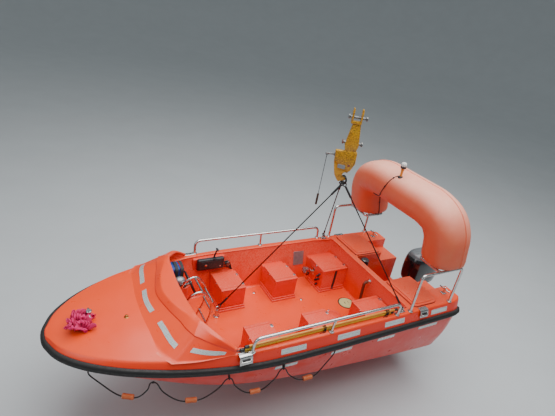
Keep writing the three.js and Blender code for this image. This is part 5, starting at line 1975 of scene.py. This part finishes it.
@dataclass
class DeckFittings:
    """Cleats, the mooring post, the gunwale brackets and the poles."""

    brackets: tuple[Flat, ...] = ((2856, 2984), (606, 730))

    def build(self) -> None:
        """Builds every fitting."""
        for side, sign in SIDES.items():
            self.cleat(side, sign)
            for number, (aft, fore) in enumerate(self.brackets):
                self.bracket(f"bracket_{side}_{number + 1}", sign, aft, fore)
        self.bow_post()
        self.poles()
        self.rims()

    @staticmethod
    def cleat(side: str, sign: int) -> None:
        """Builds a cross cleat on its pad."""
        x, y = 159, sign * 696
        form = Form().block(boat(x - 30, y - 30, GUNWALE + 0.4), boat(x + 30, y + 30, GUNWALE + 6), 2.5)
        post = [(0, 0), (18, 0), (14, 6), (13, 14), (13, 78), (15, 82), (15, 84), (12, 86), (0, 86)]
        form.turned(post, boat(x, y, GUNWALE + 4), steps=24)
        form.bar(boat(x, y - 75, GUNWALE + 60), boat(x, y + 75, GUNWALE + 60), 9, 18, soft=3)
        for a in (-21, 21):
            for b in (-21, 21):
                form.upright(x + a, y + b, GUNWALE + 5, GUNWALE + 8, 4, 8, 2.5)
        form.piece(f"cleat_{side}_steel", Look.STAINLESS, replaces=[f"cleat_{side}"])

    @staticmethod
    def bow_post() -> None:
        """Builds the mooring post with its cross bar."""
        post = [(0, 0), (36, 0), (36, 32), (32, 36), (26, 38), (22, 46), (22, 106), (26, 110), (26, 114),
                (22, 118), (0, 118)]
        form = Form().turned(post, boat(4130, 0, 892))
        form.bar(boat(4130, -72, 975), boat(4130, 72, 975), 11, 20, soft=4)
        form.piece("bow_post_steel", Look.STAINLESS, replaces=["bow_post"])

    @staticmethod
    def bracket(name: str, sign: int, aft: float, fore: float) -> None:
        """Builds a plate that is bent over the deck's edge, with its pin before a black block that stands for
        the shade in a hollow: painted shade.
        """
        shift = -8 if aft > 2000 else 0
        line = [(826, 906.5), (868, 906.5), (886, 893), (902, 815)]
        outer = rounded([[y + shift, z] for y, z in line], (0, 8, 10, 0), 3)
        rings = []
        for x in (aft, fore):
            near = [boat(x, sign * y, z) for y, z in outer]
            far = [boat(x, sign * (y + 3.4), z + 2.4) for y, z in reversed(outer)]
            rings.append(near + far)
        form = Form().skin(rings)
        middle = 894 + shift
        y, screw = sign * (middle + 15), sign * (846 + shift)
        form.bar(boat(aft + 10, y, 852), boat(fore - 10, y, 852), 8, 16, soft=2)
        for x in (aft + 18, fore - 18):
            low, high = sorted((sign * middle, sign * (middle + 20)))
            form.block(boat(x - 4, low, 838), boat(x + 4, high, 866), 2)
            form.upright(x, screw, GUNWALE + 3, GUNWALE + 9, 9, 6, soft=1.5)
        form.piece(name, Look.STAINLESS, angle=30.0)
        # A black block where the bracket has a hollow: painted shade.
        low, high = sorted((sign * (middle - 6), sign * (middle + 7)))
        shade_block = Form().block(boat(aft + 24, low, 830), boat(fore - 24, high, 876), 3)
        shade_block.piece(name + "_recess", Look.PLASTIC)

    @staticmethod
    def poles() -> None:
        """Builds the boat hook and the pole, with their ends and lashings."""
        ends = Form()
        for name, look, node, (y, z), (aft, fore), size in (
                ("boat_hook_pole", Look.POLE, "boat_hook", (808, 920.3), (1125, 2935), 14.6),
                ("pole_tube", Look.AMBER_POLE, "pole", (811, 948.6), (1075, 2895), 13.6)):
            line = [boat(aft + (fore - aft) * k / 20, y, z) for k in range(21)]
            Form().tube(line, size, 18).piece(name, look, replaces=[node], angle=60.0)
            for x in (aft - 5, fore + 1):
                ends.bar(boat(x - 22, y, z), boat(x + 22, y, z), size + 1.4, 18, soft=3)
        beak = [(2950, 808, 920), (2985, 806, 921), (3005, 800, 924), (2998, 790, 930), (2975, 788, 934)]
        ends.tube(curve_through(drawn(beak), 20), lambda share: 7 - 3.5 * share, 12)
        ends.piece("pole_ends", Look.PLASTIC)
        lashing = Form()
        for x, tilt in ((2020, 3), (2033, 3), (2046, 3), (1180, -2), (1193, -2), (1206, -2), (1219, -2)):
            loop = []
            for t in turns(24):
                a, b = 18.5 * math.sin(t), 33 * math.cos(t)
                loop.append(boat(x + tilt * math.cos(t), 809.5 + a, 934.5 + b))
            lashing.tube(loop, 3.2, 8, loop=True)
        for x in (2026, 1190):
            tail = drawn([(x, 829, 930), (x + 6, 838, 925), (x + 14, 842, 914), (x + 26, 842, 910.6),
                          (x + 48, 836, 910.2), (x + 72, 838, 910.2)])
            lashing.tube(curve_through(tail, 30), 3.0, 8)
            lashing.ball(boat(x, 829, 932), (8, 7, 8), 12)
        lashing.piece("pole_lashings", Look.LINE, angle=60.0)

    @staticmethod
    def rims() -> None:
        """Lays the rounded rim along the cockpit's edge, pale where the gelcoat is worn and on its top, where
        the gelcoat's lightening of faces that look up is partly painted highlight.
        """
        cockpit = smooth_table([[850, 790], [2600, 790], [2950, 768], [3130, 734]], 6)
        for side, sign in SIDES.items():
            edge = [(850, 20), (848, 400), (848, 760), *((x, y + 2) for x, y in cockpit[1:])]
            path = [boat(x, sign * y, GUNWALE - 4) for x, y in edge]
            Form().tube(path, 9, 12).piece(f"cockpit_rim_{side}", Look.GELCOAT, angle=60.0)


@dataclass
class Bundle:
    """A limp cotton cloth, gathered at the mooring post: simulated, then moved as a whole.

    Attributes:
        flat: its flat width and length in metres.
        cells: how many cells the width and the length have.
        folds: the length of cloth in one pleat, across and along.
        swing: the steepest turn of the pleats, across and along, in radians.
        middle: the bundle's middle before it falls.
        frames: how long it falls and settles.
        pull: how far the settled cloth is then moved as a whole, in millimetres. The move isn't
            simulated, and takes parts of the cloth into the deck and the post.
    """

    flat: Flat = (0.49, 0.68)
    cells: tuple[int, int] = (74, 66)
    folds: Flat = (0.056, 0.23)
    swing: Flat = (1.5, 1.55)
    middle: Point = (4326, -84, 972)
    frames: int = 30
    pull: Point = (-126, 90, -28)

    def build(self) -> None:
        """Gathers the cloth, lets it fall on the deck ahead of the post, and moves it to the post."""
        form = Form()
        weave = form.mesh.loops.layers.uv.new("flat")
        wide, long = self.cells
        gathered = self.gathered()
        verts = [[form.mesh.verts.new(spot) for spot in row] for row in gathered]
        for i in range(wide):
            for j in range(long):
                ways = ((i, j), (i + 1, j), (i + 1, j + 1), (i, j + 1))
                face = form.mesh.faces.new([verts[a][b] for a, b in ways])
                for loop, (a, b) in zip(face.loops, ways):
                    loop[weave].uv = (a * self.flat[0] / wide, b * self.flat[1] / long)
        made = form.piece("magenta_cloth_bundle", Look.MAGENTA, replaces=["cloth_bundle"], angle=180.0)
        self.drop(made)
        for vert in made.data.vertices:
            vert.co += Vector(self.pull) * 0.001
        finish_mesh(made, 180.0, 0.0, 1)
        thick = made.modifiers.new("thickness", "SOLIDIFY")
        thick.thickness = mm(0.9)
        settle(made)
        made.data.shade_smooth()

    def gathered(self) -> list[list[Vector]]:
        """Returns the cloth's places in pleats across, which are folded again along it."""
        draw = random.Random(11)
        wide, long = self.cells
        turn = [draw.uniform(0, 2 * math.pi) for _ in range(6)]
        du, dv = self.flat[0] / wide, self.flat[1] / long

        def steep(first: float, second: float, way: int) -> float:
            """How steep the pleats of one way are, in radians, at a place on the cloth."""
            drift = 1.3 * math.sin(second * 19 + turn[way]) + 0.8 * math.sin(second * 37 + turn[way + 2])
            size = self.swing[way] * (0.9 + 0.12 * math.sin(first * 23 + second * 17 + turn[way + 4]))
            return size * math.sin(2 * math.pi * first / self.folds[way] + drift)

        def walk(count: int, step: float, second: float, way: int) -> list[Flat]:
            """Follows the pleats, and returns how far and how high each place is."""
            far, high, spots = 0.0, 0.0, [(0.0, 0.0)]
            for index in range(count):
                angle = steep((index + 0.5) * step, second, way)
                far, high = far + math.cos(angle) * step, high + math.sin(angle) * step
                spots.append((far, high))
            mean_far, mean_high = (sum(column) / len(spots) for column in zip(*spots))
            return [(a - mean_far, b - mean_high) for a, b in spots]

        across = [walk(wide, du, j * dv, 0) for j in range(long + 1)]
        along = [walk(long, dv, i * du, 1) for i in range(wide + 1)]
        middle = boat(*self.middle)
        rows = []
        for i in range(wide + 1):
            row = []
            for j in range(long + 1):
                (x, bump), (y, lift) = across[j][i], along[i][j]
                tilt = steep(j * dv, i * du, 1)
                ahead = x - 0.9 * y * y
                aside, high = y - math.sin(tilt) * bump, lift + math.cos(tilt) * bump
                row.append(middle + Vector((ahead, aside, high)))
            rows.append(row)
        return rows

    def drop(self, made: bpy.types.Object) -> None:
        """Runs the cloth simulation over the deck and the post, and applies it.

        Args:
            made: the gathered cloth.
        """
        scene = bpy.context.scene
        bases = [bpy.data.objects[name] for name in ("deck_moulding", "bow_post_steel")]
        for base in bases:
            base.modifiers.new("base", "COLLISION")
            base.collision.thickness_outer = 0.003
            base.collision.cloth_friction = 40.0
        made.shape_key_add(name="gathered", from_mix=False)
        cut_out = made.shape_key_add(name="cut", from_mix=False)
        wide, long = self.cells
        for index, place in enumerate(cut_out.data):
            i, j = divmod(index, long + 1)
            place.co = Vector((i * self.flat[0] / wide, j * self.flat[1] / long, 0))
        cloth = made.modifiers.new("cloth", "CLOTH")
        fibre = {"rest_shape_key": cut_out, "quality": 7, "mass": 0.0004, "air_damping": 2.0,
                 "tension_stiffness": 20.0, "compression_stiffness": 20.0, "shear_stiffness": 5.0,
                 "bending_stiffness": 0.03}
        touch = {"collision_quality": 3, "distance_min": 0.003, "use_self_collision": True,
                 "self_distance_min": 0.003}
        for settings, values in ((cloth.settings, fibre), (cloth.collision_settings, touch)):
            for key, value in values.items():
                setattr(settings, key, value)
        cloth.point_cache.frame_start = 1
        cloth.point_cache.frame_end = self.frames
        for step in range(1, self.frames + 1):
            scene.frame_set(step)
        settle(made)
        scene.frame_set(1)
        for base in bases:
            base.modifiers.remove(base.modifiers["base"])


# Cockpit gear.

# The wheel's middle in millimetres, its lean in radians, and the way that it faces.
WHEEL = Vector((3000, -490, 745))
WHEEL_LEAN = 0.4
WHEEL_AXIS = Vector((-math.cos(WHEEL_LEAN), 0, math.sin(WHEEL_LEAN)))


@dataclass
class Helm:
    """The console, the wheel, the compass, the remote control and what lies under the cowl.

    Attributes:
        ring: the wheel's radius.
    """

    ring: float = 150.0

    def build(self) -> None:
        """Builds the helm."""
        self.console()
        self.wheel()
        self.control()
        self.stowed()

    def console(self) -> None:
        """Builds the console with its dash, compass and blank switch plate."""
        form = Form().block(boat(3080, -640, FLOOR + 1), boat(3405, -320, 829), 22, 4)
        form.piece("helm_console_moulding", Look.SHADED_LINER, replaces=["helm_console"])
        bowl = [(0, 0), (50, 0), (50, 16), (46, 20), (44, 24), (0, 24)]
        compass = Form().turned(bowl, boat(3135, -372, 830.4))
        compass.piece("compass_bowl", Look.PLASTIC, replaces=["compass"])
        dome = [(0, 0), (42, 0), (40, 14), (32, 28), (18, 37), (0, 41)]
        Form().turned(dome, boat(3135, -372, 855)).piece("compass_dome", Look.GLASS, angle=60.0)
        plate = Form().block(boat(3260, -600, 829.4), boat(3380, -380, 832), 1)
        plate.piece("dash_plate", Look.ANODISED)
        switches = Form()
        for k in range(5):
            y = -575 + k * 42
            switches.upright(3320, y, 831, 838, 8, 12, soft=1.5)
            switches.bar(boat(3320, y, 837), boat(3312, y, 856), 2.6, 8, 3.4)
        switches.piece("dash_switches", Look.PLASTIC)

    def wheel(self) -> None:
        """Builds the wheel and the steering head behind it."""
        up = Vector((math.sin(WHEEL_LEAN), 0, math.cos(WHEEL_LEAN)))
        side = WHEEL_AXIS.cross(up)
        ring = drawn(WHEEL + (up * math.cos(t) + side * math.sin(t)) * self.ring for t in turns(56))
        rim = Form().tube(ring, 11, 14, loop=True)
        rim.piece("helm_wheel_rim", Look.PLASTIC, body="wheel", replaces=["helm_wheel"], angle=60.0)
        form = Form()
        for t in turns(3):
            way = up * math.cos(t) + side * math.sin(t)
            spots = [WHEEL + way * 24 + WHEEL_AXIS * 4, WHEEL + way * 70 + WHEEL_AXIS * 2, WHEEL + way * 146]
            line = curve_through(drawn(spots), 10)
            form.tube(line, 9, 10, shape=[(0.55 * math.cos(a), math.sin(a)) for a in turns(10)])
        hub = [(0, -45), (24, -45), (26, -20), (34, -12), (34, 6), (28, 16), (14, 22), (0, 23)]
        form.turned(hub, boat(*WHEEL), WHEEL_AXIS, 28)
        form.piece("helm_wheel_spokes", Look.STAINLESS, body="wheel")
        head = [(0, 45.6), (34, 45.6), (38, 50), (38, 96), (46, 100), (46, 104), (0, 104)]
        form = Form().turned([(r, -h) for r, h in head], boat(*WHEEL), WHEEL_AXIS, 28)
        form.turned([(0, -100), (30, -100), (30, -150), (0, -150)], boat(*WHEEL), WHEEL_AXIS, 20)
        form.piece("helm_head_casting", Look.ALLOY, replaces=["helm_head"])

    def control(self) -> None:
        """Builds the pad on the side and the remote control with its lever."""
        form = Form().block(boat(2490, -800, 720), boat(2900, -732, 889), 16, 4)
        form.piece("side_console_moulding", Look.SHADED_LINER, replaces=["side_console"])
        form = Form().block(boat(2521, -730, 751), boat(2859, -671, 904), 19, 4)
        form.block(boat(2560, -674, 770), boat(2820, -668, 884), 3, 2)
        form.upright(2650, -690, 900, 908, 26, 24, soft=3)
        form.piece("control_box_case", Look.PLASTIC, replaces=["control_box"])
        lever = Form()
        stem = drawn([(2652, -700, 898), (2646, -700, 940), (2632, -700, 985), (2621, -700, 1012)])
        lever.tube(curve_through(stem, 14), lambda share: 11 - 3 * share, 12)
        lever.ball(boat(2620, -700, 1015), (15, 35, 15), 18)
        lever.piece("control_lever", Look.PLASTIC)
        key = Form().bar(boat(2760, -670, 830), boat(2760, -662, 830), 14, 20, soft=2)
        key.bar(boat(2575, -668, 800), boat(2575, -662, 800), 9, 16, soft=1.5)
        key.piece("control_key_ring", Look.STAINLESS)
        cables = Form()
        for number, (x, z) in enumerate(((2530, 790), (2528, 830), (2545, 760))):
            spots = [(x, -700, z), (x - 45, -702, z - 4), (x - 95, -722, z - 34),
                     (x - 150, -738 + 4 * number, 655 + 16 * number), (x - 215, -735, 615)]
            cables.tube(curve_through(drawn(spots), 30), 6.5, 10)
        cables.bar(boat(2470, -700, 806), boat(2500, -700, 800), 15, 16, soft=2)
        cables.piece("control_cables", Look.RUBBER, angle=60.0)
        clamp = Form().block(boat(2440, -742, 760), boat(2478, -696, 812), 3)
        clamp.piece("control_cable_clamp", Look.GALVANISED)

    @staticmethod
    def stowed() -> None:
        """Builds the bag, its straps and the rolled gear under the cowl to starboard."""
        bag = Form().block(boat(3120, -640, 834), boat(3300, -470, 985), 34, 5)
        bag.piece("stowed_bag", Look.BLUE_BAG, subdivide=1)
        straps = Form()
        over = [(3113, -655, 960), (3112, -600, 994), (3113, -520, 996), (3116, -462, 975),
                (3122, -455, 900), (3126, -458, 836)]
        for shift in (0, 62):
            line = curve_through([boat(x + shift, y, z) for x, y, z in over], 26)
            straps.tube(line, 17, 4, shape=[(1, 0.08), (-1, 0.08), (-1, -0.08), (1, -0.08)])
        straps.piece("stowed_bag_straps", Look.WEBBING)
        Form().ball(boat(3160, -405, 872), (62, 52, 46), 24).piece("stowed_dome", Look.ANODISED)


@dataclass
class CockpitGear:
    """The ladder, the searchlight, the hatches, the hose and small fittings."""

    def build(self) -> None:
        """Builds the gear."""
        self.ladder()
        self.searchlight()
        self.hatches()
        self.hose()
        self.small()

    @staticmethod
    def ladder() -> None:
        """Builds the folded boarding ladder."""
        stile = [(3010, FLOOR + 1), (3010, 470), (2930, 640), (2926, 850), (3060, 1015), (3200, 950),
                 (3262, 560)]
        form = Form()
        for y, shift in ((0, 0), (-262, -30)):
            form.tube(bent([(x + shift, y, z) for x, z in stile], 88, 8), 12.8, 16)
        for x, z in ((2958, 540), (2915, 700), (2913, 830), (3045, 995)):
            form.bar(boat(x, 6, z), boat(x, -268, z), 11, 16)
        form.piece("ladder_tubes", Look.STAINLESS, replaces=["ladder"], angle=50.0)
        feet = Form()
        for y, shift in ((0, 0), (-262, -30)):
            feet.upright(3010 + shift, y, FLOOR + 0.5, FLOOR + 24, 17, 18, soft=3)
            feet.upright(3262 + shift, y, 556, 575, 16, 18, soft=3)
        feet.piece("ladder_feet", Look.RUBBER)

    @staticmethod
    def searchlight() -> None:
        """Builds the searchlight on its bracket."""
        back = [(0, 0), (20, 0), (38, 10), (46, 34), (50, 78), (54, 82), (54, 92), (48, 93), (0, 88)]
        axis = boat(1390, -545, 615) - boat(1300, -545, 600)
        form = Form().turned(back, boat(1298, -545, 599.6), axis, 32)
        form.block(boat(1245.5, -592, 528), boat(1253, -498, 642), 2)
        form.block(boat(1248, -560, 560), boat(1306, -530, 588), 4)
        form.piece("searchlight_shell", Look.STAINLESS, replaces=["searchlight"])
        yoke = Form()
        spots = [boat(1345 + 6 * math.cos(t), -545 + 60 * math.cos(t), 608 - 64 * math.sin(t))
                 for t in [math.pi * k / 20 for k in range(21)]]
        yoke.tube(spots, 7, 4, shape=[(1.6, 0.4), (-1.6, 0.4), (-1.6, -0.4), (1.6, -0.4)])
        yoke.piece("searchlight_yoke", Look.PLASTIC, angle=40.0)
        glass = [(0, 0), (46, 0), (40, 4), (20, 8), (0, 9)]
        front = Form().turned(glass, boat(1388.5, -545, 614.8), axis, 32)
        front.piece("searchlight_glass", Look.GLASS, angle=60.0)

    @staticmethod
    def hatches() -> None:
        """Builds the round hatch, the small ring hatch and the drains."""
        level = FLOOR + 0.4
        large, small = boat(1012, 0, level), boat(1313, 151, level)
        lid = [(0, 0), (98, 0), (98, 4), (94, 7.5), (84, 8), (81, 6), (78, 6), (75, 9), (30, 10.5), (0, 11)]
        form = Form().turned(lid, large, steps=56)
        for angle in turns(8):
            form.upright(1012 + 89 * math.cos(angle), 89 * math.sin(angle), FLOOR + 7, FLOOR + 10, 4.5, 8, 3)
        form.block(boat(990, -42, FLOOR + 9), boat(1034, 42, FLOOR + 14.5), 3)
        form.piece("floor_hatch_lid", Look.HATCH, replaces=["floor_hatch"])
        ring = [(99, 0), (112, 0), (112, 3), (108, 5.5), (102, 5.5), (99, 3), (99, 0)]
        shadow_gap = Form().turned(ring, large, steps=48)
        shadow_gap.turned([(r * 0.8, h * 0.8) for r, h in ring], small, steps=40)
        shadow_gap.turned([(22, 10), (30, 10), (30, 12.4), (22, 12.4), (22, 10)], large, steps=32)
        shadow_gap.piece("hatch_gaskets", Look.RUBBER)
        ring = [(62, 0), (88, 0), (88, 4), (82, 8), (70, 8), (64, 5), (62, 5), (62, 0)]
        form = Form().turned(ring, small, steps=40)
        form.turned([(0, 0), (60, 0), (60, 4), (54, 7), (0, 7)], small, steps=36)
        form.piece("ring_hatch", Look.SHADED_LINER)
        drains = Form()
        grate = [(0, 0), (19, 0), (19, 2.5), (15, 4.5), (9, 4.5), (8, 2.5), (0, 2.5)]
        for x, y in ((1572, -239), (2115, -530), (1330, 60), (2250, 120)):
            drains.turned(grate, boat(x, y, level), steps=24)
        drains.piece("drains", Look.STAINLESS)

    @staticmethod
    def hose() -> None:
        """Builds the bilge hose, ribbed, with a polished elbow flange on the bulkhead."""
        line = bent([(852, 125, 800), (930, 125, 800), (925, 130, 560), (925, 130, FLOOR + 1)], 55, 10)
        line = evenly(line, 120)
        form = Form().tube(line, lambda share: 18.0 + 1.0 * math.sin(share * 2 * math.pi * 40), 18)
        form.piece("bilge_hose_ribbed", Look.BROWN_HOSE, replaces=["bilge_hose"], angle=60.0)
        collar = [(0, 0), (35, 0), (35, 4), (31, 8), (24, 9), (21, 30), (18, 32), (0, 32)]
        steel = Form().turned(collar, boat(850.4, 125, 800), Vector((1, 0, 0)), 28)
        for z in (520, 470):
            steel.tube([boat(925, 130, z), boat(925, 130, z + 12)], 18.6, 20)
        steel.piece("bilge_hose_fittings", Look.STAINLESS)

    @staticmethod
    def small() -> None:
        """Builds the blank plate, the connectors and strap on a locker, and the deck cap."""
        corners = []
        for aft, fore, z in ((1307, 1469, 590), (1469, 1307, 780)):
            wall = -(665 + (790 - 665) * (z - FLOOR) / (GUNWALE - FLOOR))
            corners += [boat(aft, wall + 0.5, z), boat(fore, wall + 0.5, z)]
        Form().plate(corners, Vector((0, mm(3), 0)), 0.8, 1).piece("side_plate", Look.ANODISED)
        bits = Form()
        for y, z in ((-372, 640), (-400, 600), (-378, 560), (-420, 520), (-395, 470)):
            bits.bar(boat(1246, y, z), boat(1272, y, z), 14, 14, soft=2)
            bits.bar(boat(1270, y, z), boat(1284, y, z), 9, 6, soft=1)
        lead = [(1276, -372, 640), (1302, -370, 622), (1304, -380, 580), (1290, -386, 556), (1284, -378, 560)]
        bits.tube(curve_through(drawn(lead), 24), 4, 8)
        bits.piece("locker_connectors", Look.PLASTIC)
        strap = Form()
        line = [(1040, -306, 700), (1040, -305.5, 640), (1042, -305.5, 540), (1046, -305.5, 450),
                (1052, -292, 420)]
        strap.tube(curve_through(drawn(line), 24), 16, 4, shape=[(0.1, 1), (-0.1, 1), (-0.1, -1), (0.1, -1)])
        strap.piece("locker_strap", Look.WEBBING)
        cap = [(0, 0), (22, 0), (22, 5), (17, 8), (13, 10), (13, 22), (9, 25), (0, 26)]
        Form().turned(cap, boat(3822, 120, 952), steps=24).piece("deck_cap", Look.BRASS)


# Stern.


@dataclass
class EngineWell:
    """The pipes, cables and the filter in the well ahead of the motor."""

    def build(self) -> None:
        """Builds the well's gear."""
        can = [(0, 0), (50, 0), (52, 6), (52, 150), (50, 158), (0, 158)]
        Form().turned(can, boat(665, -225, 700)).piece("filter_can", Look.PLASTIC)
        cap = [(0, 0), (54, 0), (56, 5), (54, 18), (40, 30), (0, 34)]
        Form().turned(cap, boat(665, -225, 858)).piece("filter_cap", Look.ENAMEL)
        shelf = Form().block(boat(600, -284.5, 660), boat(770, -170, 700), 6)
        shelf.piece("filter_shelf", Look.SHADED_LINER)
        hoses = Form()
        runs = [
            [(665, -175, 780), (640, -120, 760), (560, -60, 640), (430, -40, 560), (300, -30, 540)],
            [(770, -90, 720), (690, -70, 690), (560, -20, 600), (430, 10, 540), (300, 20, 520)],
            [(770, 60, 700), (700, 70, 640), (560, 60, 560), (430, 50, 520), (300, 40, 500)],
            [(770, 150, 640), (700, 150, 560), (560, 120, 480), (430, 80, 470), (300, 60, 480)],
        ]
        for run, size in zip(runs, (11, 9, 13, 8)):
            hoses.tube(curve_through(drawn(run), 50), size, 12)
        hoses.piece("well_hoses", Look.RUBBER, angle=60.0)
        ties = Form()
        ties.block(boat(300, -55, 470), boat(326, 80, 562), 4)
        ties.block(boat(764, -110, 610), boat(774.5, 180, 745), 3)
        ties.piece("well_hose_plates", Look.ALLOY)


@dataclass
class Motor:
    """The outboard motor: its cover, leg, brackets and propeller.

    Attributes:
        cover: rows of after end, forward end, half breadth and height of the cover.
        housing: the same rows of the leg.
        split: the height at which the grey crown, painted sky reflection, starts.
    """

    cover: list[list[float]] = field(default_factory=lambda: [
        [578.5, -420, 22, 130], [600, -440, 48, 148], [628, -452, 66, 158], [700, -457, 76, 163],
        [770, -458, 80, 165], [850, -454, 78, 163], [908, -448, 72, 160], [960, -436, 56, 151],
        [996, -420, 36, 140], [1016, -398, 8, 120], [1027, -366, -24, 98]])
    housing: list[list[float]] = field(default_factory=lambda: [
        [-280, -330, -195, 26], [-100, -345, -190, 34], [120, -335, -180, 42], [480, -350, -176, 60],
        [545, -400, -78, 105], [578, -400, -58, 110]])
    split: float = 968.0

    @staticmethod
    def oval(aft: float, fore: float, half: float, z: float, sides: int = 48) -> list[Vector]:
        """Returns a level outline with a blunt nose."""
        ring = []
        for t in turns(sides):
            round_ = math.copysign(abs(math.cos(t)) ** 0.7, math.cos(t))
            wide = math.copysign(abs(math.sin(t)) ** 0.7, math.sin(t))
            ring.append(boat((aft + fore) / 2 + (fore - aft) / 2 * round_, half * wide, z))
        return ring

    def build(self) -> None:
        """Builds the motor."""
        self.top()
        self.leg()
        self.brackets()
        self.propeller()

    def top(self) -> None:
        """Builds the cover: a black shell, a grey crown painted as the sky's reflection, its seam and latch.
        """
        rows = smooth_table(self.cover, 5)
        lower = [self.oval(aft, fore, half, z) for z, aft, fore, half in rows if z <= self.split]
        shell = Form().skin(lower)
        shell.piece("motor_cowl_shell", Look.ENAMEL, body="motor", replaces=["motor_cowl"], angle=40.0)
        # The grey crown stands for the sky's reflection on the top of the black cover: painted reflection.
        upper = [self.oval(aft + 2, fore - 2, half - 2, z) for z, aft, fore, half in rows
                 if z > self.split - 12]
        Form().skin(upper).piece("motor_cowl_crown", Look.SKY_REFLECTION_GREY, body="motor", angle=40.0)
        seam = Form()
        for z, aft, fore, half in ((600, -440, 48, 148), (596, -438, 46, 146)):
            seam.tube(self.oval(aft, fore, half, z), 4, 8, loop=True)
        seam.piece("motor_cowl_seam", Look.RUBBER, body="motor", angle=60.0)
        latch = Form().block(boat(-462, -26, 606), boat(-440, 26, 660), 5)
        latch.block(boat(40, -40, 604), boat(62, 40, 640), 6)
        for k in range(4):
            latch.block(boat(-450, -70, 836 + 16 * k), boat(-458, 70, 842 + 16 * k), 2)
        latch.piece("motor_cowl_latch", Look.PLASTIC, body="motor")

    def leg(self) -> None:
        """Builds the leg with its plate, gear case and skeg."""
        rows = smooth_table(self.housing, 6)
        form = Form().skin([self.oval(aft, fore, half, z) for z, aft, fore, half in rows])
        outline = [boat(x, y, -122) for x, y in ((-470, -70), (-470, 70), (-430, 98), (-230, 90), (-172, 40),
                                                 (-172, -40), (-230, -90), (-430, -98))]
        form.plate(outline, Vector((0, 0, mm(10))), 3, 2)
        case = [(0, -420), (44, -420), (46, -405), (46, -215), (43, -180), (34, -145), (20, -120), (0, -110)]
        form.turned([(r, h + 420) for r, h in case], boat(-420, 0, -300), Vector((1, 0, 0)), 32)
        skeg = [(-370, -320), (-200, -320), (-232, -400), (-262, -466), (-362, -470)]
        form.plate([boat(x, -6, z) for x, z in skeg], Vector((0, mm(12), 0)), 4, 2)
        form.block(boat(-230, -30, 60), boat(-138, 30, 109), 6)
        form.upright(-118, 0, 60, 109, 30, 28, soft=3)
        form.upright(-118, 0, 450.3, 555, 20, 24)
        form.piece("motor_leg_casting", Look.ENAMEL, body="motor", replaces=["motor_leg"], angle=40.0)
        anode = Form().block(boat(-330, -40, -136), boat(-240, 40, -121), 4)
        anode.piece("motor_anode", Look.GALVANISED, body="motor")
        intake = Form()
        for sign in (1, -1):
            for z in range(-190, -140, 12):
                intake.block(boat(-300, sign * 33 - 3, z), boat(-250, sign * 33 + 3, z + 6), 1)
        intake.piece("motor_intakes", Look.PLASTIC, body="motor")

    def brackets(self) -> None:
        """Dresses the clamp and swivel brackets, and adds the clamp screws."""
        for name, body, width in (("bracket", "boat", 3.0), ("swivel", "tilt_bracket", 2.5)):
            form = Form().from_node(f"motor_{name}")
            form.piece(f"motor_{name}_casting", Look.ALLOY, body=body, bevel=width,
                       replaces=[f"motor_{name}"])
        screws = Form()
        for sign in (1, -1):
            y = sign * 102
            screws.bar(boat(88, y, 365), boat(150, y, 365), 8, 16, soft=1)
            screws.bar(boat(61, y, 365), boat(68, y, 365), 20, 20, soft=2)
            screws.bar(boat(146, y - 34, 365), boat(146, y + 34, 365), 6, 14, soft=2)
            screws.bar(boat(-21, sign * 124, 510), boat(-21, sign * 132, 510), 20, 6, soft=2)
        screws.piece("motor_clamp_screws", Look.GALVANISED)

    def propeller(self) -> None:
        """Builds the propeller: a hub with three twisted blades."""
        x, z = -474, -300
        hub = [(0, 0), (39, 0), (38.5, 14), (36, 60), (31, 98), (26, 103), (0, 103)]
        form = Form().turned(hub, boat(-420.5, 0, z), Vector((-1, 0, 0)), 32)
        form.bar(boat(-520, 0, z), boat(-536, 0, z), 13, 6, soft=2)
        for turn in turns(3):
            rings = []
            for share in (0.0, 0.2, 0.4, 0.6, 0.8, 0.93, 1.0):
                radius = 30 + 112 * share
                chord = 78 * (0.8 + 0.9 * share - 1.25 * share ** 2.6) * (0.5 if share > 0.97 else 1)
                pitch = 0.95 - 0.42 * share
                ring = []
                for t in turns(14):
                    a = math.cos(t) * chord / 2
                    thick = math.sin(t) * (5.5 - 3.2 * share)
                    swing = a * math.cos(pitch) / radius + 0.22 * share
                    along = a * math.sin(pitch) + thick * math.cos(pitch)
                    angle = turn + swing + thick * math.sin(pitch) / radius
                    ring.append(boat(x + along, radius * math.sin(angle), z + radius * math.cos(angle)))
                rings.append(ring)
            form.skin(rings)
        form.piece("propeller_casting", Look.ENAMEL, body="screw", replaces=["propeller"], angle=50.0)


def main() -> None:
    """Builds the boat over its frame, and reports each piece."""
    for part in (Studio, Lifelines, Lanyard, Mouldings, Fender, Cowl, SideTapes, Lockers, TubeWork, Arch,
                 Hook, Sling, DeckFittings, Bundle, Helm, CockpitGear, EngineWell, Motor):
        part().build()


if __name__ == "__main__":
    main()
